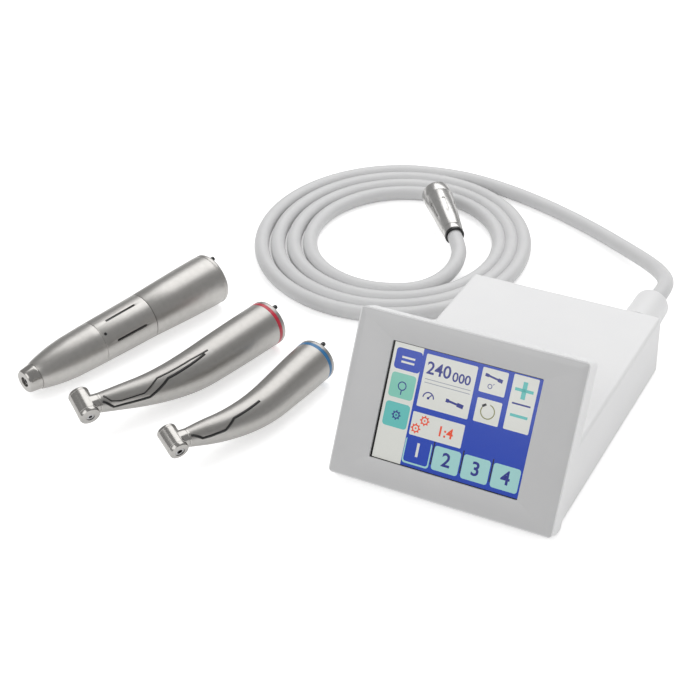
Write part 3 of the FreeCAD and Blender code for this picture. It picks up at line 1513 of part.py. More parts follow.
    # drive train: rear wheel, neck shaft with a gear at each end, spindle with its pinion
    teeth_rear = whole(f"{colour}_teeth_rear")
    teeth_front = whole(f"{colour}_teeth_front")
    wheel_angle = math.degrees(math.atan2(
        math.sin(swing), teeth_front / teeth_rear + math.cos(swing)))
    pinion_angle = bend - wheel_angle
    gear_x = float(own("gear_place"))
    wheel_radius = gear_x * math.tan(math.radians(wheel_angle))
    cone = gear_x / math.cos(math.radians(wheel_angle))
    pinion_x = cone * math.cos(math.radians(pinion_angle))
    pinion_radius = cone * math.sin(math.radians(pinion_angle))
    face = float(own("face"))
    wheel = bevel_gear(teeth_rear, wheel_radius, wheel_angle, face, -90.0 + 90.0, 2.0)
    shaft_radius = float(S["rear_shaft_radius"])
    wheel.Placement = Placement(Vector(corner, 0, 0), Rotation(Vector(1, 0, 0), -180.0))
    rear_rod = rod(shaft_radius, float(S["rear_shaft_start"]), corner - gear_x)
    slot_cut = Part.makeBox(
        1.2, 0.9, 10, Vector(float(S["rear_shaft_start"]) - 0.2, -0.45, -5))
    rear_shape = rear_rod.fuse(wheel).cut(slot_cut).removeSplitter().Solids[0]
    keep(feature(f"{colour}_rear_shaft", rear_shape, pose))

    teeth_shaft = whole(f"{colour}_teeth_shaft")
    teeth_spindle = whole(f"{colour}_teeth_spindle")
    head_gear = float(own("head_gear"))
    shaft_pitch = head_gear * teeth_shaft / teeth_spindle
    shaft_angle = math.degrees(math.atan2(shaft_pitch, head_gear))
    head_face = float(own("head_face"))
    gap_turn = 180.0 / teeth_front
    pinion = bevel_gear(teeth_front, pinion_radius, pinion_angle, face, 0.0 + gap_turn, 1.2)
    top_gear = bevel_gear(teeth_shaft, shaft_pitch, shaft_angle, head_face, 0.0, 0.8)
    top_gear.Placement = Placement(Vector(neck, 0, 0), Rotation())
    neck_radius_here = float(S["neck_shaft"])
    neck_rod = rod(neck_radius_here, -pinion_x * face, neck - head_gear - 0.4)
    front_shape = neck_rod.fuse([pinion, top_gear]).removeSplitter().Solids[0]
    keep(feature(f"{colour}_front_shaft", front_shape, elbow))

    # spindle along the head's own axis: local X of the spindle frame points to the button
    spindle_frame = head_frame.multiply(Placement(
        Vector(), Rotation(Vector(0, 1, 0), Vector(-1, 0, 0), Vector(0, 0, 1), "XYZ")))
    mesh_angle = 90.0 - shaft_angle
    spindle_gear = bevel_gear(
        teeth_spindle, head_gear, mesh_angle, head_face, 180.0 / teeth_spindle, 0.7)
    # flipped so that its teeth face the apex from the button side; the gap faces the neck
    spindle_gear.Placement = Placement(Vector(), Rotation(Vector(0, 0, 1), 180.0))
    low = -float(own("head_low")) + float(S["spindle_recess"])
    bearing_top = float(own("bearing_top"))
    bearing_length = 1.4
    high = bearing_top + bearing_length
    body_rod = rod(float(own("spindle")), low, high)
    bur_bore = rod(float(own("bur")), low - 1, low + float(S["bur_depth"]))
    spindle_shape = body_rod.fuse(spindle_gear).cut(bur_bore).removeSplitter().Solids[0]
    keep(feature(f"{colour}_spindle", spindle_shape, spindle_frame))

    # head: barrel, stub and spigot, hollowed for the spindle, the gears and the cap
    head_radius = own("head")
    head_low = own("head_low")
    head_top = own("head_top")
    chamber = head_radius - S["chamber_wall"]
    chamber_low = -head_low + S["bur_face_wall"]
    cap_radius = head_radius - S["cap_wall"]
    cap_floor = own("bearing_top") + 1.6
    barrel = turned(f"{colour}_barrel", [
        (-head_low, own("spindle") + S["spindle_recess"]),
        (-head_low, head_radius - 0.9), (-head_low + 0.9, head_radius),
        (head_top - 0.4, head_radius), (head_top, head_radius - 0.2), (head_top, cap_radius),
        (cap_floor, cap_radius), (cap_floor, chamber), (chamber_low, chamber),
        (chamber_low, own("spindle") + S["spindle_recess"])], spindle_frame)
    stub = cylinder(
        f"{colour}_stub_rod", own("stub"), S["stub_length"], (-S["stub_length"], 0, 0), (1, 0, 0),
        head_frame)
    spigot = cylinder(
        f"{colour}_spigot", own("stub") - S["spigot_wall"], S["spigot_length"] + 1,
        (-S["stub_length"] - S["spigot_length"], 0, 0), (1, 0, 0), head_frame)
    inside = cylinder(
        f"{colour}_inside", chamber, cap_floor - chamber_low, (chamber_low, 0, 0), (1, 0, 0),
        spindle_frame)
    cap_room = cylinder(
        f"{colour}_cap_room", cap_radius, head_top - cap_floor + 2, (cap_floor, 0, 0), (1, 0, 0),
        spindle_frame)
    way = cylinder(
        f"{colour}_way", S["neck_bore"] + S["spigot_gap"], S["stub_length"] + S["spigot_length"],
        (-S["stub_length"] - S["spigot_length"], 0, 0), (1, 0, 0), head_frame)
    gear_room = cylinder(
        f"{colour}_top_gear_room", as_size(shaft_pitch + 0.4), as_size(5.0), (-5.0, 0, 0),
        (1, 0, 0), head_frame)
    stub_tools = [inside, cap_room, way, gear_room]
    stub_full = combine(f"{colour}_stub_full", "Fuse", stub, [spigot])
    stub_cut = combine(f"{colour}_stub_cut", "Cut", stub_full, stub_tools)
    room_cut = cylinder(
        f"{colour}_barrel_room", as_size(shaft_pitch + 0.4), as_size(5.0), (-5.0, 0, 0),
        (1, 0, 0), head_frame)
    barrel_cut = combine(f"{colour}_barrel_cut", "Cut", barrel, [room_cut])
    keep(combine(f"{colour}_head", "Fuse", barrel_cut, [stub_cut]))

    # push cap with its spring ring; both travel along the spindle's axis
    cap_base = cap_floor + S["cap_travel"] + 0.1 + S["spring_depth"]
    cap_outer = cap_radius - S["cap_gap"]
    dome = S["cap_dome"]
    keep(turned(f"{colour}_push_cap", [
        (cap_base, zero), (cap_base, cap_outer), (head_top, cap_outer),
        (head_top + dome * 0.65, cap_outer * 0.72), (head_top + dome * 0.93, cap_outer * 0.36),
        (head_top + dome, zero)], spindle_frame))
    keep(turned(f"{colour}_cap_spring", [
        (cap_base - S["spring_depth"], cap_outer - 0.3 - S["spring_wire"]),
        (cap_base - S["spring_depth"], cap_outer - 0.3), (cap_base, cap_outer - 0.3),
        (cap_base, cap_outer - 0.3 - S["spring_wire"])], spindle_frame))

    # bearings
    spindle_hole = own("spindle") + S["bearing_gap"]
    head_race = turned(f"{colour}_race_form", [
        (zero, spindle_hole), (zero, chamber - S["bearing_seat"]),
        (as_size(bearing_length), chamber - S["bearing_seat"]),
        (as_size(bearing_length), spindle_hole)])
    keep(group(f"{colour}_head_bearings", head_race, [
        spindle_frame.multiply(at(chamber_low, 0, 0)),
        spindle_frame.multiply(at(own("bearing_top"), 0, 0))]))
    rear_race = turned(f"{colour}_rear_race", [
        (zero, S["rear_shaft_radius"] + S["bearing_gap"]), (zero, S["rear_bearing_radius"]),
        (S["rear_bearing_width"], S["rear_bearing_radius"]),
        (S["rear_bearing_width"], S["rear_shaft_radius"] + S["bearing_gap"])])
    neck_race = turned(f"{colour}_neck_race", [
        (zero, S["neck_shaft"] + S["bearing_gap"]), (zero, S["neck_bore"] - S["bearing_seat"]),
        (S["neck_bearing_width"], S["neck_bore"] - S["bearing_seat"]),
        (S["neck_bearing_width"], S["neck_shaft"] + S["bearing_gap"])])
    rear_pair = group(f"{colour}_rear_pair", rear_race, [
        pose.multiply(at(bearing_one, 0, 0)),
        pose.multiply(at(bearing_two, 0, 0))])
    neck_pair = group(f"{colour}_neck_pair", neck_race, [
        elbow.multiply(at(3, 0, 0)),
        elbow.multiply(at(own("neck") - S["stub_length"] - S["spigot_length"] * 0.2, 0, 0))])
    bearings = doc.addObject("Part::Compound", f"{colour}_shaft_bearings")
    bearings.Label = f"{colour}_shaft_bearings"
    bearings.Links = [rear_pair, neck_pair]
    keep(bearings)
    return pose, elbow, spindle_frame


red = contra_angle(
    "red", Vector(-float(S["red_spot_x"]), -float(S["red_spot_y"]), 0), -109.5)
blue = contra_angle(
    "blue", Vector(-float(S["blue_spot_x"]), -float(S["blue_spot_y"]), 0), -103.9)

doc.recompute()
broken = [item.Name for item in doc.Objects if "Invalid" in item.State or "Error" in item.State]
if broken:
    raise RuntimeError(f"objects not built: {broken}")
for item in nodes:
    if item.Shape.isNull() or not item.Shape.isValid():
        raise RuntimeError(f"shape of {item.Label} is not valid")


def report_axis(label, place, way=Vector(1, 0, 0)):
    spot = place.Base
    direction = place.Rotation.multVec(way)
    print("AXIS", label, *[round(value, 6) for value in (*spot, *direction)])


report_axis("straight", straight)
report_axis("coupling", coupling_place)
for colour, frames in (("red", red), ("blue", blue)):
    report_axis(f"{colour}_rear", frames[0])
    report_axis(f"{colour}_front", frames[1])
    report_axis(f"{colour}_spindle", frames[2])

os.makedirs("parts", exist_ok=True)
for item in nodes:
    item.Shape.exportStep(f"parts/{item.Label}.step")
print(len(nodes), "nodes")
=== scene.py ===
import json
import math

import bmesh
import bpy
from mathutils import Matrix, Vector


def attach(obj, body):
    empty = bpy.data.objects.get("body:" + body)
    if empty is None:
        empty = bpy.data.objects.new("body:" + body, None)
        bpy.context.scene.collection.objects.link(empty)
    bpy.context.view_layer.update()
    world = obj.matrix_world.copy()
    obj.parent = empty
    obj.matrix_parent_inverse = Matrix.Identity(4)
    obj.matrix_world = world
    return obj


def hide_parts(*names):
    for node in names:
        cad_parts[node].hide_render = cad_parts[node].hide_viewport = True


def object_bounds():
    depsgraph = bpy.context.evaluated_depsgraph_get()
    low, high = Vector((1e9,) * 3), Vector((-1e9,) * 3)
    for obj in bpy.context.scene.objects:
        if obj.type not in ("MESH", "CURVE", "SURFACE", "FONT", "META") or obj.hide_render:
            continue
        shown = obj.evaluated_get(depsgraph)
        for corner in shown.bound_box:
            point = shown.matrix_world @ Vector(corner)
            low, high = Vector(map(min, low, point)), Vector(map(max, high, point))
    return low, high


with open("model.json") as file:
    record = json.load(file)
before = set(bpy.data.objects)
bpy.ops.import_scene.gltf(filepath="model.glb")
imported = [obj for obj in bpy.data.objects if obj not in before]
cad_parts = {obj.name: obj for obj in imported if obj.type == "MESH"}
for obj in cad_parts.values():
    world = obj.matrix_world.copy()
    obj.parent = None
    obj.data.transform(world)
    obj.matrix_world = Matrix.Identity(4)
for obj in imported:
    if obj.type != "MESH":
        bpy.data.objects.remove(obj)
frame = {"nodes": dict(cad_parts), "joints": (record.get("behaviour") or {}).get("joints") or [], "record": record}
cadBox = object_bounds()
cadNodes = frame["nodes"]
mounts = {mount["name"]: mount for mount in frame["record"]["mounts"]}
joints = {joint["name"]: joint for joint in frame["joints"]}
mm = 0.001
mergeGap = 0.0000005  # points nearer than this, in metres, become one
carveGap = 0.0000008
print("frame loaded,", len(cadNodes), "nodes")


# the camera stands where the photograph's stood
camera = {
    "eye": (0.20009, -0.49983, 0.40366),  # metres
    "ahead": (-0.4019, 0.7232, -0.5616),
    "across": (0.8842, 0.466, -0.0326),
    "lens": 78.814,
    "sensor": 36,
    "nearest": 0.01,
}


def placeCamera():
    ahead = Vector(camera["ahead"]).normalized()
    above = Vector(camera["across"]).cross(ahead).normalized()
    across = ahead.cross(above)
    place = Matrix((across, above, -ahead)).transposed().to_4x4()
    place.translation = Vector(camera["eye"])
    viewer = bpy.data.objects.new("camera", bpy.data.cameras.new("camera"))
    viewer.matrix_world = place
    viewer.data.lens = camera["lens"]
    viewer.data.sensor_width = camera["sensor"]
    viewer.data.clip_start = camera["nearest"]
    bpy.context.scene.collection.objects.link(viewer)
    bpy.context.scene.camera = viewer


placeCamera()
print("camera placed")


def paint(red, green=None, blue=None):
    # a colour as it is read on a screen, 0 to 255, made linear; one number is a grey
    if green is None:
        green = blue = red

    def linear(value):
        value = value / 255
        return value / 12.92 if value <= 0.04045 else ((value + 0.055) / 1.055) ** 2.4
    return (linear(red), linear(green), linear(blue), 1)


def setInputs(node, values):
    for socket, value in values.items():
        node.inputs[socket].default_value = value
    return node


def newNode(tree, kind, values=None):
    return setInputs(tree.nodes.new("ShaderNode" + kind), values or {})


def newFinish(name, colour, rough, metal=0, specular=0.5):
    finish = bpy.data.materials.new(name)
    finish.use_nodes = True
    shader = setInputs(finish.node_tree.nodes["Principled BSDF"], {
        "Base Color": colour, "Roughness": rough, "Metallic": metal,
        "Specular IOR Level": specular})
    return finish, shader


def newNoise(tree, scale, detail):
    coords = newNode(tree, "TexCoord")
    noise = newNode(tree, "TexNoise", {"Scale": scale, "Detail": detail})
    tree.links.new(coords.outputs["Object"], noise.inputs["Vector"])
    return noise


def addMottle(finish, shader, colour, other, scale):
    # two close tones spread by noise over the piece
    tree = finish.node_tree
    noise = newNoise(tree, scale, 4)
    factorIn, colourIn, otherIn, mixedOut = 0, 6, 7, 2  # a Mix node's sockets for colours
    mix = newNode(tree, "Mix")
    mix.data_type = "RGBA"
    setInputs(mix, {colourIn: colour, otherIn: other})
    tree.links.new(noise.outputs["Fac"], mix.inputs[factorIn])
    tree.links.new(mix.outputs[mixedOut], shader.inputs["Base Color"])


def addGrain(finish, shader, scale, depth, strength=1, rough=None):
    # fine surface grain as bump, and roughness that follows it between two values
    tree = finish.node_tree
    noise = newNoise(tree, scale, 3)
    bump = newNode(tree, "Bump", {"Strength": strength, "Distance": depth * mm})
    tree.links.new(noise.outputs["Fac"], bump.inputs["Height"])
    tree.links.new(bump.outputs["Normal"], shader.inputs["Normal"])
    if rough:
        spread = newNode(tree, "MapRange", {"To Min": rough[0], "To Max": rough[1]})
        tree.links.new(noise.outputs["Fac"], spread.inputs["Value"])
        tree.links.new(spread.outputs["Result"], shader.inputs["Roughness"])


# a row for each slot: the finish's name, colour, roughness and metal, then the two tones of its
# mottle and their scale, then its grain's scale, depth in millimetres, strength and roughness
finishRows = {
    "white_plastic": (
        "whiteHousing", (232,), 0.42, 0,
        ((233,), (229, 229, 230), 60), (2600, 0.012, 0.5, (0.38, 0.46))),
    "bezel_plastic": (
        "bezelGrey", (204,), 0.4, 0,
        ((206,), (200, 200, 201), 90), (3200, 0.012, 0.6, (0.34, 0.44))),
    "screen_glass": ("screenGlass", (8, 9, 12), 0.08, 0, None, (900, 0.002, 0.2)),
    "dark_plastic": (
        "darkPlastic", (42, 42, 44), 0.5, 0,
        ((42, 42, 44), (34, 34, 36), 200), (2400, 0.02, 0.7, (0.45, 0.6))),
    "board": (
        "boardGreen", (38, 104, 66), 0.35, 0,
        ((38, 104, 66), (24, 78, 50), 900), (1500, 0.02, 0.5)),
    "steel": (
        "plainSteel", (176,), 0.3, 1,
        ((182,), (160, 160, 161), 400), (5000, 0.01, 0.6, (0.25, 0.4))),
    "aluminium": (
        "bareAluminium", (202, 203, 205), 0.35, 1,
        ((205, 206, 208), (186, 187, 189), 300), (4200, 0.012, 0.6, (0.3, 0.45))),
    "handpiece_metal": (
        "blastedMetal", (170, 168, 165), 0.38, 1,
        ((174, 172, 169), (161, 159, 156), 420), (5200, 0.014, 0.8, (0.33, 0.43))),
    "satin_metal": (
        "satinMetal", (180, 178, 175), 0.38, 1,
        ((184, 182, 179), (168, 166, 163), 420), (5200, 0.016, 0.9, (0.32, 0.42))),
    "bright_metal": (
        "polishedMetal", (172, 170, 167), 0.2, 1,
        ((175, 173, 170), (160, 158, 155), 300), (3000, 0.004, 0.4, (0.16, 0.26))),
    "brushed_metal": (
        "brushedMetal", (196, 195, 193), 0.27, 1,
        ((200, 199, 197), (180, 179, 177), 300), (3600, 0.008, 0.6, (0.23, 0.32))),
    "hose_silicone": (
        "siliconeHose", (213,), 0.46, 0,
        ((214,), (207, 207, 208), 120), (2200, 0.02, 0.5, (0.42, 0.52))),
    "foot_rubber": (
        "footRubber", (40, 40, 41), 0.7, 0,
        ((40, 40, 41), (30, 30, 31), 500), (1800, 0.04, 0.8, (0.62, 0.78))),
    "red_band": (
        "redBand", (196, 40, 62), 0.3, 0, ((200, 42, 64), (176, 30, 52), 500), (2600, 0.008, 0.4)),
    "blue_band": (
        "blueBand", (44, 118, 170), 0.3, 0,
        ((46, 122, 174), (34, 98, 148), 500), (2600, 0.008, 0.4)),
    "black_trim": (
        "blackTrim", (22, 22, 23), 0.28, 0, ((22, 22, 23), (15, 15, 16), 500), (2600, 0.01, 0.5)),
    "clear_tube": (
        "clearTube", (216, 216, 206), 0.3, 0, ((218, 218, 208), (206, 206, 194), 300), None),
    "spring_steel": ("springSteel", (150,), 0.3, 1, ((154,), (132, 132, 133), 600), None),
}
extraInputs = {
    "hose_silicone": {"Subsurface Weight": 0.08, "Subsurface Radius": [0.004] * 3},
    "clear_tube": {"Transmission Weight": 0.5},
}


def makeFinishes():
    made = {}
    for slotName, (name, colour, rough, metal, mottle, grain) in finishRows.items():
        finish, shader = newFinish(name, paint(*colour), rough, metal)
        if mottle:
            tone, other, scale = mottle
            addMottle(finish, shader, paint(*tone), paint(*other), scale)
        if grain:
            addGrain(finish, shader, *grain)
        setInputs(shader, extraInputs.get(slotName, {}))
        made[slotName] = finish
    return made


finishes = makeFinishes()
for subpart in frame["record"]["subparts"]:
    node, finish = cadNodes[subpart["node"]], finishes[subpart["material_slot"]]
    if not node.material_slots:
        node.data.materials.append(finish)
    for holder in node.material_slots:
        holder.material = finish
print("materials made")


def axisFrame(origin, along, sideways):
    # local X along the piece, local Y as near to sideways as it can be
    along = along.normalized()
    upright = along.cross(sideways).normalized()
    place = Matrix((along, upright.cross(along), upright)).transposed().to_4x4()
    place.translation = origin
    return place


def turnForm(form, angle, axis, centre=(0, 0, 0)):
    bmesh.ops.rotate(form, cent=centre, verts=form.verts, matrix=Matrix.Rotation(angle, 3, axis))


def shiftForm(form, way):
    bmesh.ops.translate(form, vec=Vector(way) * mm, verts=form.verts)


def closeForm(form):
    bmesh.ops.remove_doubles(form, verts=form.verts, dist=mergeGap)
    bmesh.ops.recalc_face_normals(form, faces=form.faces)
    return form


def turnedForm(profile, steps=96):
    # profile is a list of (place along X, radius) in millimetres, closed if its ends meet
    form = bmesh.new()
    spots = [form.verts.new((place * mm, radius * mm, 0)) for place, radius in profile]
    lines = [form.edges.new(pair) for pair in zip(spots, spots[1:])]
    bmesh.ops.spin(
        form, geom=spots + lines, cent=(0, 0, 0), axis=(1, 0, 0), angle=math.tau,
        steps=steps, use_merge=True)
    return closeForm(form)


def rodForm(start, end, radius, steps):
    return turnedForm([(start, 0), (start, radius), (end, radius), (end, 0)], steps)


def wallForm(corners, steps=96):
    # a wall's profile, closed on itself
    return turnedForm(corners + [corners[0]], steps)


def roundEdges(form, width, limit=28, segments=3):
    sharp = [
        edge for edge in form.edges
        if len(edge.link_faces) == 2 and edge.calc_face_angle(0) > math.radians(limit)]
    bmesh.ops.bevel(
        form, geom=sharp, offset=width * mm, affect="EDGES", segments=segments, profile=0.5,
        material=-1, clamp_overlap=True)


def raiseFaces(form, faces, height):
    # draws the faces out along Z and returns the new points
    raised = bmesh.ops.extrude_face_region(form, geom=faces)
    top = [item for item in raised["geom"] if isinstance(item, bmesh.types.BMVert)]
    bmesh.ops.translate(form, vec=(0, 0, height * mm), verts=top)
    return top


def shadeForm(form, limit):
    for face in form.faces:
        face.smooth = True
    for edge in form.edges:
        if len(edge.link_faces) == 2:
            edge.smooth = edge.calc_face_angle(0) < math.radians(limit)


def looseObject(name, form):
    mesh = bpy.data.meshes.new(name)
    form.to_mesh(mesh)
    form.free()
    item = bpy.data.objects.new(name, mesh)
    bpy.context.scene.collection.objects.link(item)
    return item


def addPiece(name, form, place, body, slotName, replaced=(), finish="", limit=32):
    shadeForm(form, limit)
    piece = looseObject(name, form)
    piece.data.transform(place)
    piece.data.materials.append(finishes[finish or slotName])
    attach(piece, body)
    if replaced:
        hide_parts(*replaced)
    return piece


def joinForms(forms):
    whole = bmesh.new()
    for form in forms:
        mesh = bpy.data.meshes.new("part")
        form.to_mesh(mesh)
        form.free()
        whole.from_mesh(mesh)
        bpy.data.meshes.remove(mesh)
    return whole


def takeMesh(mesh):
    # the mesh as a form, with the mesh itself removed
    form = bmesh.new()
    form.from_mesh(mesh)
    bpy.data.meshes.remove(mesh)
    return form


def takeCurve(curve):
    # the mesh that a curve or figures make, as a form, with the curve itself removed
    item = bpy.data.objects.new("curveItem", curve)
    form = takeMesh(bpy.data.meshes.new_from_object(item))
    bpy.data.curves.remove(curve)
    return closeForm(form)


def carved(form, cutters, operation="DIFFERENCE"):
    # the form after the cutter forms have been taken from it or joined to it
    base = looseObject("carveBase", form)
    tools = [looseObject("carveTool", cutter) for cutter in cutters]
    for tool in tools:
        cut = base.modifiers.new("cut", "BOOLEAN")
        cut.operation = operation
        cut.solver = "EXACT"
        cut.object = tool
    bpy.context.view_layer.update()
    graph = bpy.context.evaluated_depsgraph_get()
    result = takeMesh(bpy.data.meshes.new_from_object(base.evaluated_get(graph)))
    for item in [base] + tools:
        bpy.data.meshes.remove(item.data)  # takes its object with it
    bmesh.ops.remove_doubles(result, verts=result.verts, dist=carveGap)
    return result


def roundLine(name, kind, path, radius, roundness):
    line = bpy.data.curves.new(name, "CURVE")
    line.dimensions = "3D"
    line.bevel_depth = radius * mm
    line.bevel_resolution = roundness
    line.use_fill_caps = True
    run = line.splines.new(kind)
    run.points.add(len(path) - 1)
    for spot, point in zip(run.points, path):
        spot.co = (*(Vector(point) * mm), 1)
    return line, run


def tubeForm(path, radius):
    # a closed round tube through a few points, all in millimetres
    return takeCurve(roundLine("tubeLine", "POLY", path, radius, 3)[0])


def roundedBlock(width, height, low, high, corner, middle=(0, 0), cornerSteps=6):
    # a flat block in the XY plane with rounded upright corners, millimetres
    form = bmesh.new()
    bmesh.ops.create_grid(form, x_segments=1, y_segments=1, size=0.5)
    bmesh.ops.scale(form, vec=(width * mm, height * mm, 1), verts=form.verts)
    shiftForm(form, (middle[0], middle[1], low))
    if corner:
        bmesh.ops.bevel(
            form, geom=list(form.verts), offset=corner * mm, affect="VERTICES",
            segments=cornerSteps, profile=0.5, material=-1)
    raiseFaces(form, list(form.faces), high - low)
    bmesh.ops.recalc_face_normals(form, faces=form.faces)
    return form


# the metal coupling on the hose's free end, its sizes along and around its own line
coupling = {
    "length": 40, "ring": 1.6, "small": 5, "large": 7.7, "flange": 32.8, "bore": 3.88,
    "nutStart": 5, "neckEnd": 12, "neck": 4.58, "core": 5.2, "seam": 0.12, "play": 0.1,
    "rounding": 0.9, "port": 6.2, "floor": 34, "insert": 4.05, "insertDepth": 31,
    "wireHole": 0.6, "seat": 9, "gripCount": 6, "gripLength": 11, "gripWidth": 1.6,
    "gripMiddle": 20.5, "gripDepth": 0.5, "gripCorner": 0.7, "bodyEdge": 0.14, "nutEdge": 0.12,
    "ringEdge": 0.25,
}
couplingMount = mounts["hose_motor_port"]
couplingWay = Vector(couplingMount["axis"])
couplingStart = Vector(couplingMount["pos_m"]) / mm - couplingWay * coupling["length"]
couplingPlace = axisFrame(couplingStart * mm, couplingWay, Vector((0, 0, 1)).cross(couplingWay))


def coneRadius(place):
    span = coupling["flange"] - coupling["ring"]
    return coupling["small"] + (coupling["large"] - coupling["small"]) * (
        place - coupling["ring"]) / span


def couplingGrips():
    c = coupling
    slope = math.atan((c["large"] - c["small"]) / (c["flange"] - c["ring"]))
    level = coneRadius(c["gripMiddle"])
    grips = []
    for number in range(c["gripCount"]):
        grip = roundedBlock(
            c["gripLength"], c["gripWidth"], level - c["gripDepth"], c["large"] + 2,
            c["gripCorner"], (c["gripMiddle"], 0))
        turnForm(grip, -slope, "Y", (c["gripMiddle"] * mm, 0, level * mm))
        turnForm(grip, math.tau * number / c["gripCount"], "X")
        grips.append(grip)
    return grips


def makeCoupling():
    c = coupling
    end, rounding = c["length"], c["rounding"]
    body = wallForm([
        (c["ring"], c["bore"]), (c["ring"], c["small"]),
        (c["nutStart"], coneRadius(c["nutStart"])), (c["nutStart"], c["neck"]),
        (c["neckEnd"], c["neck"]), (c["neckEnd"], c["core"]), (c["flange"], c["core"]),
        (c["flange"], c["large"]), (end - rounding, c["large"]),
        (end - rounding * 0.3, c["large"] - rounding * 0.3), (end, c["large"] - rounding),
        (end, c["port"]), (c["floor"], c["port"]), (c["floor"], c["insert"]),
        (c["insertDepth"], c["insert"]), (c["insertDepth"], c["wireHole"]),
        (c["seat"], c["wireHole"]), (c["seat"], c["bore"])])
    roundEdges(body, c["bodyEdge"], segments=2)
    bodyPiece = addPiece(
        "couplingBody", body, couplingPlace, "unit", "bright_metal", ["coupling_body"],
        "brushed_metal")
    seam, play = c["seam"], c["play"]
    low, high, neckEnd = c["nutStart"] + seam, c["flange"] - seam, c["neckEnd"] - seam
    neck, core = c["neck"] + play, c["core"] + play
    nut = wallForm([
        (low, neck), (low, coneRadius(low)), (high, coneRadius(high)), (high, core),
        (neckEnd, core), (neckEnd, neck)], 120)
    nut = carved(nut, couplingGrips())
    roundEdges(nut, c["nutEdge"], segments=2)
    nutPiece = addPiece(
        "couplingNut", nut, couplingPlace, "coupling_grip", "bright_metal", ["coupling_nut"],
        "brushed_metal")
    ring = wallForm([
        (0, c["bore"]), (0, c["small"]), (c["ring"], c["small"]), (c["ring"], c["bore"])])
    roundEdges(ring, c["ringEdge"])
    ringPiece = addPiece(
        "couplingRing", ring, couplingPlace, "unit", "black_trim", ["coupling_ring"])
    return [bodyPiece, nutPiece, ringPiece, cadNodes["coupling_insert"]]


# the hose is one line: out of the gland, down to the table, round the coil, into the coupling
hose = {
    "length": 1.63,  # metres
    "diameter": 7.6,
    "exit": (34.2, 77, 20),
    "lead": [
        (34.2, 88, 20), (35, 99.5, 19.6), (32.8, 113.5, 16.5), (25.6, 128.5, 11.4),
        (14, 142.5, 7.2), (-3, 155, 5), (-25, 168, 4), (-50, 179, 3.85), (-75, 187, 3.85)],
    "leadIn": 21, "firstAngle": 96, "sweep": 1274, "radius": 73.8, "drift": 4,
    "middle": (-112.5, 115, 3.85), "turnPoints": 24,
    "longWay": (-0.486, 0.874, 0), "longShare": 1.03,
    "shortWay": (0.874, 0.486, 0), "shortShare": 0.97,
    "outward": 1.0086,  # the line lies inside its corners, so they stand out a little
    "tailTurn": 6,  # degrees that the tail turns before its first point
    "tailStep": 8.9,
    "tailLevels": [3.85, 4.2, 5.1, 6.4, 8, 9.6],
}


def coilPoint(angle, outward=1):
    longWay = Vector(hose["longWay"]).normalized()
    shortWay = Vector(hose["shortWay"]).normalized()
    gone = angle - hose["firstAngle"]
    radius = (hose["radius"] - hose["diameter"] * gone / 360) * outward
    ray = Vector((math.cos(math.radians(angle)), math.sin(math.radians(angle)), 0))
    middle = Vector(hose["middle"]) + Vector((hose["drift"] * gone / hose["sweep"], 0, 0))
    return middle + radius * (
        longWay * (ray.dot(longWay) * hose["longShare"])
        + shortWay * (ray.dot(shortWay) * hose["shortShare"]))


def coilHeading(angle, step=0.05):
    return (coilPoint(angle + step) - coilPoint(angle - step)).normalized()


def hoseRoute():
    route = [Vector(hose["exit"])] + [Vector(point) for point in hose["lead"]]
    first = hose["firstAngle"]
    route.append(coilPoint(first) - coilHeading(first) * hose["leadIn"])
    step = 360 / hose["turnPoints"]
    for turn in range(int(hose["sweep"] / step) + 1):
        route.append(coilPoint(first + step * turn, hose["outward"]))
    route.append(coilPoint(first + hose["sweep"]))
    heading = coilHeading(first + hose["sweep"])
    startTurn = math.degrees(math.atan2(heading.y, heading.x)) + hose["tailTurn"]
    endTurn = math.degrees(math.atan2(couplingWay.y, couplingWay.x))
    levels = hose["tailLevels"]
    for share, level in enumerate(levels):
        angle = math.radians(startTurn + (endTurn - startTurn) * share / len(levels))
        spot = route[-1] + Vector((math.cos(angle), math.sin(angle), 0)) * hose["tailStep"]
        route.append(Vector((spot.x, spot.y, level)))
    route.append(couplingStart + couplingWay * coupling["seat"])
    return route


def makeHose():
    line, run = roundLine("hose", "NURBS", hoseRoute(), hose["diameter"] / 2, 8)
    line.resolution_u = 6
    run.order_u = 3
    run.use_endpoint_u = True
    line.materials.append(finishes["hose_silicone"])
    piece = bpy.data.objects.new("hose", line)
    bpy.context.scene.collection.objects.link(piece)
    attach(piece, "unit")
    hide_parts("hose_lead", "hose_coil", "hose_tail")
    return piece


hosePiece = makeHose()
couplingPieces = makeCoupling()
print("hose and coupling made")


# the black index pin at each handpiece's rear rim, and the hole that it sits in
indexPin = {"radius": 1.1, "play": 0.05, "start": -2.6, "holeStart": -1, "edge": 0.25}


def pinHole(level, end):
    return tubeForm(
        [(indexPin["holeStart"], 0, level), (end, 0, level)], indexPin["radius"] + indexPin["play"])


def makePin(name, level, end, place, body, node):
    pin = rodForm(indexPin["start"], end, indexPin["radius"], 32)
    roundEdges(pin, indexPin["edge"])
    shiftForm(pin, (0, 0, level))
    addPiece(name, pin, place, body, "black_trim", [node])


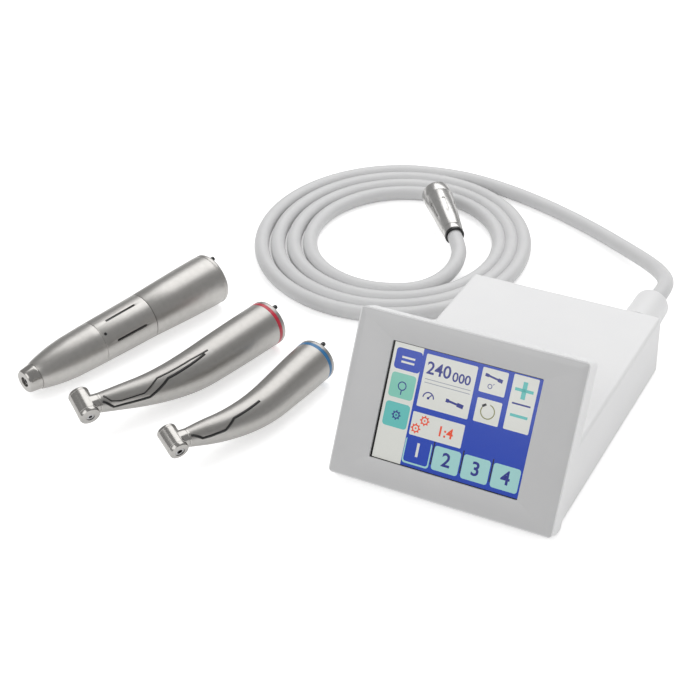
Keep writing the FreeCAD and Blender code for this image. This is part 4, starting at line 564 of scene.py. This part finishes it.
# the straight handpiece, from its rear rim at 0 forwards
straight = {
    "length": 112, "socket": 7, "socketDepth": 22, "bore": 7.5, "collar": 43.6,
    "front": 72.4, "nose": 106, "seam": 0.15, "collarRear": 11.2, "collarFront": 10.5,
    "rim": 12.7, "rimSteps": [  # place, and how far the surface lies off the rim's radius
        (0, -1), (0.3, -0.4), (1, 0), (2.3, 0), (2.42, -0.2), (2.72, -0.2), (2.84, 0)],
    "rear": [(6, 12.7), (17.7, 12.4), (29.3, 11.9)],
    "frontSleeve": [(75.8, 10.4), (87.5, 9.9), (94, 9.2), (99, 8.3), (103, 7.4), (106, 6.5)],
    "frontInside": [(106, 3), (101.65, 3), (101.65, 5.9), (90.65, 5.9), (90.65, 7.5)],
    "noseSteps": [(106, 6.3), (107.2, 6.2), (111.2, 5.6), (112, 5)], "noseBore": 2.4,
    "fluteCount": 6, "fluteTurn": -15, "fluteLength": 17.2, "fluteWidth": 1.2,
    # each flute holds a dark bar of painted shade, a little shorter, narrower and lower than the flute
    "fluteDepth": 0.6, "fluteCorner": 0.5, "fluteMiddle": 57.6, "shadeShorter": 0.5,
    "shadeNarrower": 0.3, "shadeRise": 0.12, "shadeSink": 0.2, "shadeCorner": 0.3,
    "mark": 0.75, "markPlace": 70.3, "markTurn": -45, "markRise": 0.08, "markSink": 0.54,
    "pinPlace": 10, "pinEnd": 3, "sleeveEdge": 0.12, "collarEdge": 0.14, "noseEdge": 0.2,
}
straightMount = mounts["straight_motor_socket"]
straightAhead = -Vector(straightMount["axis"])
straightPlace = axisFrame(
    Vector(straightMount["pos_m"]), straightAhead, Vector((0, 0, 1)).cross(straightAhead))


def addStraight(name, form, node, body="straight_body"):
    addPiece(name, form, straightPlace, body, "handpiece_metal", [node], "satin_metal")


def fluteForms(length, width, low, high, corner):
    s = straight
    forms = []
    for number in range(s["fluteCount"]):
        form = roundedBlock(length, width, low, high, corner, (s["fluteMiddle"], 0))
        turnForm(form, math.tau * number / s["fluteCount"] + math.radians(s["fluteTurn"]), "X")
        forms.append(form)
    return forms


def makeStraightRear():
    s = straight
    rear = wallForm(
        [(0, s["socket"])] + [(place, s["rim"] + step) for place, step in s["rimSteps"]]
        + s["rear"] + [
            (s["collar"] - s["seam"], s["collarRear"]), (s["collar"] - s["seam"], s["bore"]),
            (s["socketDepth"], s["bore"]), (s["socketDepth"], s["socket"])], 128)
    rear = carved(rear, [pinHole(s["pinPlace"], s["pinEnd"])])
    roundEdges(rear, s["sleeveEdge"], segments=2)
    addStraight("straightRearSleeve", rear, "straight_rear_sleeve")


def makeStraightCollar():
    s = straight
    seam = s["seam"]
    collar = wallForm([
        (s["collar"], s["bore"]), (s["collar"], s["collarRear"] - seam),
        (s["collar"] + seam, s["collarRear"]), (s["front"] - seam * 2, s["collarFront"]),
        (s["front"] - seam, s["collarFront"] - seam), (s["front"] - seam, s["bore"])], 128)
    level = (s["collarRear"] + s["collarFront"]) / 2
    floor = level - s["fluteDepth"]
    collar = carved(collar, fluteForms(
        s["fluteLength"], s["fluteWidth"], floor, level + 2, s["fluteCorner"]))
    roundEdges(collar, s["collarEdge"], segments=2)
    # painted shade: dark bars laid in the flutes stand in for the shade inside them; the mark is the collar's
    # small dark index dot
    lines = fluteForms(
        s["fluteLength"] - s["shadeShorter"], s["fluteWidth"] - s["shadeNarrower"],
        floor - s["shadeSink"], floor + s["shadeRise"], s["shadeCorner"])
    mark = rodForm(-s["markSink"], s["markRise"], s["mark"], 32)
    turnForm(mark, -math.tau / 4, "Y")
    shiftForm(mark, (s["markPlace"], 0, s["collarFront"]))
    turnForm(mark, math.radians(s["markTurn"]), "X")
    addPiece(
        "straightFluteShadeAndMark", joinForms(lines + [mark]), straightPlace, "straight_collar",
        "black_trim")
    addStraight("straightTwistCollar", collar, "straight_twist_collar", "straight_collar")


def makeStraightFront():
    s = straight
    sleeve = wallForm(
        [(s["front"], s["bore"]), (s["front"], s["collarFront"])] + s["frontSleeve"]
        + s["frontInside"], 128)
    roundEdges(sleeve, s["sleeveEdge"], segments=2)
    addStraight("straightFrontSleeve", sleeve, "straight_front_sleeve")
    nose = wallForm([(s["nose"], s["noseBore"])] + s["noseSteps"] + [(s["length"], s["noseBore"])])
    roundEdges(nose, s["noseEdge"])
    addPiece(
        "straightNoseCollar", nose, straightPlace, "straight_body", "bright_metal",
        ["straight_nose_collar"])
    makePin(
        "straightIndexPin", s["pinPlace"], s["pinEnd"], straightPlace, "straight_body",
        "straight_index_pin")


makeStraightRear()
makeStraightCollar()
makeStraightFront()
print("straight handpiece made")


# the contra-angle handpieces: stations are (place along the bent centre line, radius), and a
# groove is its width, the width of its dark cord of painted shade, and its marks as (place, degrees around the
# line)
contras = {
    "red": {
        "stations": [
            (0, 10.9), (21.5, 10.6), (43.4, 10), (54.4, 9.3), (64.9, 8.2), (75.4, 7), (85.4, 5.9)],
        "corner": 62, "bend": 19, "neck": 43, "tangent": 20, "gear": 14,
        "room": 4.7, "head": 4.7, "headTop": 7.5, "headLow": 6.4, "stub": 4.4, "spindle": 1.6,
        "bearingTop": 4.3, "index": 9, "shaftGear": 3.7, "grooves": [
            (0.5, 0.2, [(96.8, -94), (93.9, -134), (90.4, -143), (79, -135), (71.6, -96),
                        (53.8, -90), (43.5, -92)]),
            (0.64, 0.44, [(97.9, -125), (97, -130), (93.2, -169), (88.3, -163),
                          (77.1, -155), (67.2, -111), (46, -97)])],
    },
    "blue": {
        "stations": [
            (0, 10), (12, 9.8), (28, 9.1), (40.6, 8.5), (52.2, 7.6), (63.8, 6.5), (73.5, 5.5)],
        "corner": 52, "bend": 23, "neck": 37.5, "tangent": 18, "gear": 10,
        "room": 4.3, "head": 4.4, "headTop": 6.6, "headLow": 6, "stub": 4.1, "spindle": 1.9,
        "bearingTop": 3.5, "index": 8.5, "shaftGear": 2.9, "grooves": [
            (0.62, 0.42, [(82.3, -119), (81.2, -122), (77.6, -150), (74.4, -148),
                          (67, -140), (61.9, -108), (47, -97)])],
    },
}
handle = {
    "socket": 7, "socketDepth": 22, "seatRadius": 3.05, "seatEnd": 26.5, "shaftWay": 2,
    "rimSteps": [(0, -0.5), (0.15, -0.15), (0.5, 0)],  # place, and step from the rim's radius
    "stubLength": 6.6, "spigot": 3, "spigotWall": 0.4, "spigotPlay": 0.05,
    "ringPlace": 2, "ringWidth": 2, "ringDepth": 0.8, "ringEdge": 0.18, "step": 1.5,
    "neckWay": 2.5, "gearEase": 4, "roomShare": 0.8,
    # grooveRise lifts the groove's cutter, and the groove's dark cord of painted shade sinks this far below the
    # surface
    "grooveStep": 1.5, "grooveRise": 0.12, "shadeCordSink": -0.32, "pinEnd": 1.7,
}
head = {
    "wall": 1, "capWall": 0.55, "capPlay": 0.08, "capTravel": 1.6, "capBase": 1,
    "capEdge": 0.15, "spindlePlay": 0.3, "floor": 0.45, "neckWay": 2.55, "gearDepth": 5,
    # each is a place from that end of the head, and a step from its radius
    "lowSteps": [(0, -0.9), (0.35, -0.25), (0.9, 0), (2, 0), (2.1, -0.14), (2.45, -0.14),
                 (2.55, 0)],
    "topSteps": [(1.75, 0), (1.65, -0.14), (1.3, -0.14), (1.2, 0), (0.4, 0), (0, -0.2)],
    "stubSteps": [(1.3, 0), (1.2, -0.12), (0.9, -0.12), (0.8, 0), (0, 0)],
    "dome": [(0.434, 0.74), (0.63, 0.4), (0.7, 0)],  # rise over the top, share of the radius
}


def contraPlace(colour):
    socket = mounts[colour + "_motor_socket"]
    return axisFrame(
        Vector(socket["pos_m"]), -Vector(socket["axis"]),
        Vector(joints[colour + "_neck_spin"]["axis"]))


def bendOf(sizes):
    swing = math.radians(sizes["bend"])
    return swing, sizes["tangent"] / math.tan(swing / 2)


def bentLine(sizes, place):
    # the frame of the bent centre line at a distance along it, millimetres
    swing, radius = bendOf(sizes)
    start = sizes["corner"] - sizes["tangent"]
    if place <= start:
        spot, angle = (place, 0), 0
    elif place <= start + radius * swing:
        angle = (place - start) / radius
        spot = (start + radius * math.sin(angle), radius * (1 - math.cos(angle)))
    else:
        angle = swing
        rest = place - start - radius * swing + sizes["tangent"]
        spot = (sizes["corner"] + rest * math.cos(angle), rest * math.sin(angle))
    frameHere = Matrix.Rotation(angle, 4, "Z")
    frameHere.translation = Vector((spot[0], spot[1], 0)) * mm
    return frameHere


def bentLength(sizes):
    swing, radius = bendOf(sizes)
    return sizes["corner"] + sizes["neck"] - sizes["tangent"] * 2 + radius * swing


def smoothRadius(stations, place):
    # a smooth curve through the stations of (place, radius)
    last = len(stations) - 1
    index = 0
    while index < last - 1 and stations[index + 1][0] <= place:
        index += 1

    def slope(item):
        low, high = max(item - 1, 0), min(item + 1, last)
        return (stations[high][1] - stations[low][1]) / (stations[high][0] - stations[low][0])

    (start, first), (end, second) = stations[index], stations[index + 1]
    span = end - start
    part = (place - start) / span
    return (
        first * (2 * part ** 3 - 3 * part ** 2 + 1)
        + slope(index) * span * (part ** 3 - 2 * part ** 2 + part)
        + second * (3 * part ** 2 - 2 * part ** 3)
        + slope(index + 1) * span * (part ** 3 - part ** 2))


def bentForm(sizes, rings, steps=112):
    # rings of (place, radius) drawn out one from the next along the bent centre line
    form = bmesh.new()
    upright = Matrix.Rotation(math.radians(90), 4, "Y")

    def ringFrame(ring):
        return bentLine(sizes, ring[0]) @ Matrix.Scale(ring[1] * mm, 4) @ upright

    before = ringFrame(rings[0])
    bmesh.ops.create_circle(form, segments=steps, radius=1, matrix=before)
    edges = list(form.edges)
    for ring in rings[1:]:
        drawn = bmesh.ops.extrude_edge_only(form, edges=edges)["geom"]
        spots = set(item for item in drawn if isinstance(item, bmesh.types.BMVert))
        edges = [
            item for item in drawn
            if isinstance(item, bmesh.types.BMEdge) and all(end in spots for end in item.verts)]
        after = ringFrame(ring)
        bmesh.ops.transform(form, matrix=after @ before.inverted(), verts=list(spots))
        before = after
    return closeForm(form)


def groovePath(sizes, stations, marks, lift):
    # follows the surface between the marks of (place, angle), lifted off it
    spots = []
    for (place, angle), (nextPlace, nextAngle) in zip(marks, marks[1:]):
        pieces = max(2, int(abs(nextPlace - place) / handle["grooveStep"]))
        spots += [
            (place + (nextPlace - place) * step / pieces,
             angle + (nextAngle - angle) * step / pieces) for step in range(pieces)]
    path = []
    for place, angle in spots + [marks[-1]]:
        radius, turn = smoothRadius(stations, place) + lift, math.radians(angle)
        local = Vector((0, math.cos(turn), math.sin(turn))) * radius * mm
        path.append((bentLine(sizes, place) @ local) / mm)
    return path


def handleForm(sizes, stations):
    # outside from the rear rim to the neck's end, then back through the inside
    h = handle
    rim, end = stations[0][1], stations[-1][0]
    ringEnd = h["ringPlace"] + h["ringWidth"]
    rings = [(0, h["socket"])] + [(place, rim + step) for place, step in h["rimSteps"]] + [
        (h["ringPlace"], rim), (h["ringPlace"], rim - h["ringDepth"]),
        (ringEnd, rim - h["ringDepth"]), (ringEnd, smoothRadius(stations, ringEnd))]
    steps = int((end - ringEnd) / h["step"])
    for number in range(1, steps + 1):
        spot = ringEnd + (end - ringEnd) * number / steps
        rings.append((spot, smoothRadius(stations, spot)))
    counter = sizes["stub"] - h["spigotWall"] + h["spigotPlay"]
    spigotFloor = end - h["spigot"] - h["spigotPlay"]
    corner, ease = sizes["corner"], h["gearEase"]
    gearStart = corner - sizes["gear"] - ease
    rings += [
        (end, counter), (spigotFloor, counter), (spigotFloor, h["neckWay"]),
        (corner + sizes["tangent"] - ease, h["neckWay"]),
        (corner + ease, sizes["room"] * h["roomShare"]),
        (corner - sizes["gear"] + ease, sizes["room"]), (gearStart, sizes["room"]),
        (gearStart, h["shaftWay"]), (h["seatEnd"], h["shaftWay"]),
        (h["seatEnd"], h["seatRadius"]), (h["socketDepth"], h["seatRadius"]),
        (h["socketDepth"], h["socket"]), (0, h["socket"])]
    return bentForm(sizes, rings)


def makeHandle(colour, sizes, place):
    h = handle
    end = bentLength(sizes) - h["stubLength"]
    stations = sizes["stations"] + [(end, sizes["stub"])]
    body = colour + "_body"
    index = -sizes["index"]
    cutters, lines = [pinHole(index, h["pinEnd"])], []
    for width, shadeCordWidth, marks in sizes["grooves"]:
        cutters.append(tubeForm(groovePath(sizes, stations, marks, h["grooveRise"]), width))
        lines.append(tubeForm(groovePath(sizes, stations, marks, h["shadeCordSink"]), shadeCordWidth))
    form = carved(handleForm(sizes, stations), cutters)
    addPiece(
        colour + "Handle", form, place, body, "handpiece_metal", [colour + "_handle"], limit=26)
    # painted shade: dark cords laid in the grooves stand in for the shade inside them
    addPiece(colour + "GroovePaintedShade", joinForms(lines), place, body, "black_trim")

    rim = stations[0][1]
    ringStart, ringEnd = h["ringPlace"], h["ringPlace"] + h["ringWidth"]
    ring = wallForm([
        (ringStart, rim - h["ringDepth"]), (ringStart, rim), (ringEnd, rim),
        (ringEnd, rim - h["ringDepth"])])
    roundEdges(ring, h["ringEdge"])
    addPiece(colour + "Ring", ring, place, body, colour + "_band", [colour + "_colour_ring"])
    makePin(colour + "IndexPin", index, h["pinEnd"], place, body, colour + "_index_pin")


def makeHead(colour, sizes, place):
    k = head
    neckEnd = place @ bentLine(sizes, bentLength(sizes))
    neckWay, buttonWay = neckEnd.col[0].xyz, neckEnd.col[1].xyz
    headPlace = axisFrame(neckEnd.translation, buttonWay, -neckWay)
    radius, low, top = sizes["head"], sizes["headLow"], sizes["headTop"]
    stub, stubEnd = sizes["stub"], handle["stubLength"]
    spigot, spigotEnd = stub - handle["spigotWall"], stubEnd + handle["spigot"]

    barrel = turnedForm(
        [(-low, 0)] + [(place - low, radius + step) for place, step in k["lowSteps"]]
        + [(top - place, radius + step) for place, step in k["topSteps"]] + [(top, 0)])
    neck = turnedForm(
        [(0, 0), (0, stub)] + [(stubEnd - place, stub + step) for place, step in k["stubSteps"]]
        + [(stubEnd, spigot), (spigotEnd, spigot), (spigotEnd, 0)])
    neckHole = rodForm(-1, spigotEnd + 1, k["neckWay"], 64)
    gearRoom = rodForm(-1, k["gearDepth"], sizes["shaftGear"], 64)
    for form in (neck, neckHole, gearRoom):
        turnForm(form, math.tau / 4, "Z")
    hole = sizes["spindle"] + k["spindlePlay"]
    capRadius, chamber = radius - k["capWall"], radius - k["wall"]
    floor, capFloor = k["floor"] - low, sizes["bearingTop"] + k["capTravel"]
    inside = turnedForm([
        (-low - 1, 0), (-low - 1, hole), (floor, hole), (floor, chamber), (capFloor, chamber),
        (capFloor, capRadius), (top + 1, capRadius), (top + 1, 0)])
    form = carved(carved(barrel, [neck], "UNION"), [inside, neckHole, gearRoom])
    addPiece(
        colour + "Head", form, headPlace, colour + "_body", "bright_metal", [colour + "_head"],
        limit=30)

    capOuter, base = capRadius - k["capPlay"], capFloor + k["capBase"]
    cap = turnedForm(
        [(base, 0), (base, capOuter), (top - k["capEdge"], capOuter),
         (top, capOuter - k["capEdge"])]
        + [(top + rise, capOuter * share) for rise, share in k["dome"]])
    addPiece(
        colour + "PushCap", cap, headPlace, colour + "_cap", "bright_metal",
        [colour + "_push_cap"], limit=26)


for colourName, sizesOfOne in contras.items():
    placeOfOne = contraPlace(colourName)
    makeHandle(colourName, sizesOfOne, placeOfOne)
    makeHead(colourName, sizesOfOne, placeOfOne)
    print(colourName, "contra-angle made")


# the display's frame, and the layers of the picture on its glass
panel = {
    "middle": -3.04, "front": -67.8, "lip": 3.7, "lean": 60.7, "bezel": (97.2, 68.7),
    "bezelMiddle": 35.5, "bezelBack": -1.9, "flangeBack": 0.03, "corner": 0.7,
    # the frame's steps towards its face: each a rise, and the width and height there
    "faceSteps": [(0, (98.3, 69.8)), (0.07, (98.3, 69.8)), (0.5, (94, 65.5))],
    "bezelEdge": 0.2, "window": (65.6, 49.4), "windowMiddle": 35.6, "windowBack": -0.5,
    "windowCorner": 0.5, "rebate": (69.5, 53.3), "cutDepth": 4,
    "pictureSize": (64.6, 48.6), "pictureShift": 0.35, "glass": -0.5, "layer": 0.016,
    "layerShare": 0.8,
}
panelPlace = Matrix.Translation(Vector((panel["middle"], panel["front"], panel["lip"])) * mm
) @ Matrix.Rotation(math.radians(panel["lean"]), 4, "X")
layerDepth = panel["layer"] * panel["layerShare"]


def makeBezel():
    p = panel
    form = roundedBlock(
        *p["bezel"], p["bezelBack"], p["flangeBack"], p["corner"], (0, p["bezelMiddle"]))
    size = p["bezel"]
    middle = Matrix.Translation((0, -p["bezelMiddle"] * mm, 0))
    for rise, wanted in p["faceSteps"]:
        top = [face for face in form.faces if face.normal.z > 0.99 and len(face.verts) > 8]
        highest = max(top, key=lambda face: face.calc_center_median().z)
        spots = raiseFaces(form, [highest], rise)
        bmesh.ops.delete(form, geom=top, context="FACES")
        bmesh.ops.scale(
            form, vec=(wanted[0] / size[0], wanted[1] / size[1], 1), space=middle, verts=spots)
        form.normal_update()
        size = wanted
    bmesh.ops.recalc_face_normals(form, faces=form.faces)
    centre, depth = (0, p["windowMiddle"]), p["cutDepth"]
    window = roundedBlock(*p["window"], -depth, depth, p["windowCorner"], centre)
    rebate = roundedBlock(*p["rebate"], -depth, p["windowBack"], 0, centre)
    form = carved(form, [window, rebate])
    roundEdges(form, p["bezelEdge"], limit=50)
    addPiece("frontBezel", form, panelPlace, "unit", "bezel_plastic", ["front_bezel"], limit=40)


def picturePoint(across, down, aside=0, above=0):
    # fractions of the picture, from its upper left corner, to millimetres on the panel, and
    # from there aside and above in millimetres
    p = panel
    wide, high = p["pictureSize"]
    return Vector((
        p["pictureShift"] + (across - 0.5) * wide + aside,
        p["windowMiddle"] + (0.5 - down) * high + above, 0))


def layerForm(form, layer):
    shiftForm(form, (0, 0, panel["glass"] + panel["layer"] * layer))
    return form


def tile(layer, left, right, top, bottom, corner=0):
    first, second = picturePoint(left, top), picturePoint(right, bottom)
    form = roundedBlock(
        abs(second.x - first.x), abs(first.y - second.y), 0, layerDepth, corner,
        ((first.x + second.x) / 2, (first.y + second.y) / 2), 4)
    return layerForm(form, layer)


def flatForm(form, layer):
    raiseFaces(form, list(form.faces), layerDepth)
    bmesh.ops.recalc_face_normals(form, faces=form.faces)
    return layerForm(form, layer)


def disc(layer, across, down, radius, sides=32):
    form = bmesh.new()
    bmesh.ops.create_circle(
        form, cap_ends=True, segments=sides, radius=radius * mm,
        matrix=Matrix.Translation(picturePoint(across, down) * mm))
    return flatForm(form, layer)


def hoop(layer, across, down, radius, width, first=0, sweep=360, sides=48):
    # a flat ring, or a part of one
    form = bmesh.new()
    spots = [form.verts.new(((radius + side * width / 2) * mm, 0, 0)) for side in (-1, 1)]
    line = form.edges.new(spots)
    bmesh.ops.spin(
        form, geom=spots + [line], cent=(0, 0, 0), axis=(0, 0, 1),
        angle=math.radians(sweep), steps=max(6, int(sides * sweep / 360)), use_merge=sweep >= 360)
    turnForm(form, math.radians(first), "Z")
    shiftForm(form, picturePoint(across, down))
    return flatForm(form, layer)


def stroke(layer, start, end, width):
    # a short straight bar between two points in millimetres on the panel
    way = end - start
    form = roundedBlock(way.length, width, 0, layerDepth, 0, (way.length / 2, 0))
    turnForm(form, math.atan2(way.y, way.x), "Z")
    shiftForm(form, start)
    return layerForm(form, layer)


def strokes(layer, across, down, *runs):
    # bars about one point, each from a start to an end aside and above it, with a width
    return joinForms(
        stroke(layer, picturePoint(across, down, *start), picturePoint(across, down, *end),
               width) for start, end, width in runs)


def figures(layer, words, across, down, size, bold):
    # plain figures as a flat mesh, centred on the point
    curve = bpy.data.curves.new("figures", "FONT")
    curve.body = words
    curve.size = size * mm
    curve.align_x = "CENTER"
    curve.align_y = "CENTER"
    curve.offset = bold * mm
    curve.extrude = layerDepth / 2 * mm
    curve.resolution_u = 4
    form = takeCurve(curve)
    shiftForm(form, picturePoint(across, down) + Vector((0, 0, layerDepth / 2)))
    return layerForm(form, layer)


def gear(layer, across, down, radius, teeth=8):
    forms = [hoop(layer, across, down, radius * 0.72, radius * 0.28),
             disc(layer, across, down, radius * 0.2)]
    centre = picturePoint(across, down)
    for number in range(teeth):
        turn = math.tau * number / teeth
        way = Vector((math.cos(turn), math.sin(turn), 0))
        forms.append(stroke(
            layer, centre + way * radius * 0.8, centre + way * radius * 1.12, radius * 0.3))
    return joinForms(forms)


# the screen's inks, 0 to 255, with how strongly each is lit
litInk = 0.35
inks = {
    "Blue": (4, 52, 156, litInk), "Navy": (24, 34, 116, litInk),
    "White": (196, 197, 192, litInk), "Teal": (84, 168, 164, litInk),
    "Mint": (142, 186, 184, litInk), "Green": (112, 176, 160, litInk),
    "Red": (208, 66, 34, litInk), "Olive": (112, 112, 60, litInk),
    "Grey": (132, 136, 148, litInk), "Black": (14, 16, 26, 0),
}
# the picture's pieces: ink, layer and forms, whose places are fractions of the picture: a tile's
# left, right, top, bottom and corner, and the point and the sizes of the rest
picture = {
    "screenGround": ("Blue", 1, [(tile, 0, 1, 0, 1)]),
    "screenColumn": ("White", 2, [(tile, 0, 0.2, 0, 1)]),
    "screenTiles": ("White", 2, [
        (tile, 0.225, 0.573, 0.033, 0.48, 0.5), (tile, 0.215, 0.57, 0.53, 0.73, 0.5),
        (tile, 0.605, 0.775, 0.02, 0.225, 0.5), (tile, 0.61, 0.775, 0.273, 0.473, 0.5),
        (tile, 0.81, 0.975, 0.01, 0.47, 0.5)]),
    "screenTabTop": ("Blue", 3, [(tile, 0.02, 0.2, 0.04, 0.22, 1.4)]),
    "screenTabMiddle": ("Green", 3, [(tile, 0.02, 0.19, 0.25, 0.46, 1.4)]),
    "screenTabLow": ("Teal", 3, [(tile, 0.02, 0.19, 0.5, 0.71, 1.4)]),
    "screenTabs": ("Mint", 2, [
        (tile, 0.405, 0.585, 0.76, 0.965, 1.2), (tile, 0.605, 0.785, 0.76, 0.965, 1.2),
        (tile, 0.805, 0.985, 0.76, 0.965, 1.2)]),
    "screenTabRim": ("Mint", 2, [(tile, 0.203, 0.387, 0.755, 0.975, 1.3)]),
    "screenTabChosen": ("Blue", 3, [(tile, 0.212, 0.378, 0.74, 0.96, 1.1)]),
    "screenTabLines": ("Black", 3, [
        (tile, 0.394, 0.402, 0.735, 0.93), (tile, 0.594, 0.602, 0.735, 0.93),
        (tile, 0.794, 0.802, 0.735, 0.93)]),
    "screenFigures": ("Navy", 3, [
        (figures, "240", 0.325, 0.15, 7.2, 0.12), (figures, "000", 0.482, 0.17, 5.4, 0.1),
        (figures, "2", 0.495, 0.865, 8, 0.16), (figures, "3", 0.695, 0.865, 8, 0.16),
        (figures, "4", 0.895, 0.865, 8, 0.16)]),
    "screenChosenFigure": ("White", 4, [(figures, "1", 0.295, 0.85, 8, 0.16)]),
    "screenRules": ("Grey", 3, [
        (tile, 0.245, 0.555, 0.238, 0.244), (tile, 0.245, 0.555, 0.268, 0.274)]),
    "screenGears": ("Red", 3, [
        (gear, 0.302, 0.588, 1.9), (gear, 0.252, 0.668, 1.9),
        (figures, "1:4", 0.45, 0.64, 5.8, 0.12)]),
    "screenPlus": ("Teal", 3, [
        (tile, 0.832, 0.953, 0.114, 0.14), (tile, 0.878, 0.907, 0.055, 0.2),
        (tile, 0.835, 0.95, 0.33, 0.354)]),
    "screenBar": ("Navy", 3, [(tile, 0.832, 0.953, 0.238, 0.252)]),
    "screenTurn": ("Olive", 3, [(hoop, 0.692, 0.373, 2.9, 0.42, 110, 330)]),
    "screenTurnMark": ("Black", 4, [(strokes, 0.66, 0.326, ((-0.6, -0.5), (0.9, 0.5), 1))]),
    "screenMarks": ("Navy", 3, [
        (hoop, 0.672, 0.165, 0.85, 0.3),
        (strokes, 0.672, 0.165, ((1.1, 0.8), (1.7, 1.3), 0.25)),
        (strokes, 0.69, 0.085, ((-4, 0.4), (-2.4, 0.2), 1.3), ((-2.4, 0.2), (1.6, -0.5), 0.8),
         ((1.6, -0.5), (3.6, -0.9), 1.5)),
        (strokes, 0.475, 0.375, ((-4.2, 0.2), (-2.8, 0.1), 1.5),
         ((-2.8, 0.1), (0.8, -0.4), 0.9), ((0.8, -0.4), (3.6, -0.8), 1.7)),
        (hoop, 0.292, 0.395, 2.3, 0.5, 0, 180), (disc, 0.292, 0.395, 0.55),
        (strokes, 0.292, 0.395, ((0, 0), (1.3, 1.5), 0.45))]),
    "screenTabMarks": ("White", 4, [
        (tile, 0.065, 0.155, 0.105, 0.122), (tile, 0.065, 0.155, 0.145, 0.162)]),
    "screenTabMarksTwo": ("Navy", 4, [
        (hoop, 0.105, 0.355, 1.7, 0.45), (strokes, 0.105, 0.395, ((0, 0), (0, -1.701), 0.45)),
        (gear, 0.105, 0.605, 1.8)]),
}


def screenInk(name, red, green, blue, glow):
    # a lit area of the screen: its colour is given off as well as reflected
    colour = paint(red, green, blue)
    finish, shader = newFinish(name, colour, 0.22)
    addMottle(finish, shader, colour, tuple(min(part * 1.05, 1) for part in colour), 700)
    setInputs(shader, {
        "Emission Color": colour, "Emission Strength": glow, "Coat Weight": 0.4,
        "Coat Roughness": 0.06})
    return finish


def makePicture():
    for name, tone in inks.items():
        finishes[name] = screenInk("ink" + name, *tone)
    for name, (ink, layer, parts) in picture.items():
        joined = joinForms(kind(layer, *sizes) for kind, *sizes in parts)
        addPiece(name, joined, panelPlace, "unit", "screen_glass", finish=ink)


makeBezel()
makePicture()
print("display made")


# the gland at the rear wall, where the hose leaves
gland = {
    "x": 34.2, "wall": 65, "level": 20, "length": 22, "seat": 3.88, "seatDepth": 10,
    "bore": 3, "stem": 4.5, "stemLength": 7, "edge": 0.1,
    "outside": [
        (0, 8.4), (1.2, 8.4), (2, 8.28), (20.5, 8), (21.1, 7.88), (21.625, 7.45), (22, 6.5)],
}


def makeGland():
    g = gland
    seatFloor = g["length"] - g["seatDepth"]
    form = wallForm(
        [(-g["stemLength"], g["bore"]), (-g["stemLength"], g["stem"]), (0, g["stem"])]
        + g["outside"] + [(g["length"], g["seat"]), (seatFloor, g["seat"]), (seatFloor, g["bore"])])
    roundEdges(form, g["edge"], limit=50, segments=2)
    place = axisFrame(
        Vector((g["x"], g["wall"], g["level"])) * mm, Vector((0, 1, 0)), Vector((1, 0, 0)))
    addPiece("hoseGland", form, place, "unit", "white_plastic", ["hose_gland"])


makeGland()
print("gland made")


# a pale floor, three soft lamps and the world's light
studio = {
    "floor": 3, "floorGap": 0.0001, "floorTone": (236,), "floorRough": 0.9,
    "floorGlow": 0.52,
    "lamps": [
        # name, place, target, size, power
        ("key", (-0.2, 0.72, 1), (-0.08, 0, 0), 1.15, 8.2),
        ("front", (-0.4, -0.9, 0.8), (-0.05, -0.05, 0), 0.9, 4.2),
        ("fill", (0.95, 0.1, 0.42), (0, 0, 0), 0.6, 1.7)],
    "worldTone": (240,), "worldLight": 0.5, "whiteWorld": (1, 1, 1, 1),
}


def newMath(tree, operation):
    item = newNode(tree, "Math")
    item.operation = operation
    return item


def makeFloor():
    form = bmesh.new()
    bmesh.ops.create_grid(form, x_segments=1, y_segments=1, size=studio["floor"])
    floor = looseObject("floor", form)
    floor.data.transform(Matrix.Translation((0, 0, cadBox[0][2] - studio["floorGap"])))
    finish, shader = newFinish(
        "floorPaper", paint(*studio["floorTone"]), studio["floorRough"], specular=0)
    # white where the camera, a gloss or a clear piece sees it, and it keeps its shadows
    tree = finish.node_tree
    link = tree.links.new
    rays = newNode(tree, "LightPath")
    seen, more = newMath(tree, "MAXIMUM"), newMath(tree, "MAXIMUM")
    strength = newMath(tree, "MULTIPLY")
    strength.inputs[1].default_value = studio["floorGlow"]
    glow, total = newNode(tree, "Emission"), newNode(tree, "AddShader")
    link(rays.outputs["Is Camera Ray"], seen.inputs[0])
    link(rays.outputs["Is Glossy Ray"], seen.inputs[1])
    link(seen.outputs[0], more.inputs[0])
    link(rays.outputs["Is Transmission Ray"], more.inputs[1])
    link(more.outputs[0], strength.inputs[0])
    link(strength.outputs[0], glow.inputs["Strength"])
    link(shader.outputs[0], total.inputs[0])
    link(glow.outputs[0], total.inputs[1])
    link(total.outputs[0], tree.nodes["Material Output"].inputs["Surface"])
    floor.data.materials.append(finish)


def makeLamps():
    for name, place, target, size, power in studio["lamps"]:
        lamp = bpy.data.lights.new(name, "AREA")
        lamp.shape = "SQUARE"
        lamp.size = size
        lamp.energy = power
        item = bpy.data.objects.new(name, lamp)
        way = Vector(target) - Vector(place)
        item.matrix_world = Matrix.Translation(place) @ way.to_track_quat(
            "-Z", "Y").to_matrix().to_4x4()
        item.visible_glossy = name != "fill"
        bpy.context.scene.collection.objects.link(item)


def makeWorld():
    world = bpy.data.worlds.new("studio")
    bpy.context.scene.world = world
    world.use_nodes = True
    tree = world.node_tree
    link = tree.links.new
    ground = setInputs(tree.nodes["Background"], {
        "Color": paint(*studio["worldTone"]), "Strength": studio["worldLight"]})
    white = newNode(tree, "Background", {"Color": studio["whiteWorld"]})
    rays, mix = newNode(tree, "LightPath"), newNode(tree, "MixShader")
    link(rays.outputs["Is Camera Ray"], mix.inputs[0])
    link(ground.outputs[0], mix.inputs[1])
    link(white.outputs[0], mix.inputs[2])
    link(mix.outputs[0], tree.nodes["World Output"].inputs["Surface"])


makeFloor()
makeLamps()
makeWorld()
bpy.context.scene.view_settings.view_transform = "Standard"
print("studio made")
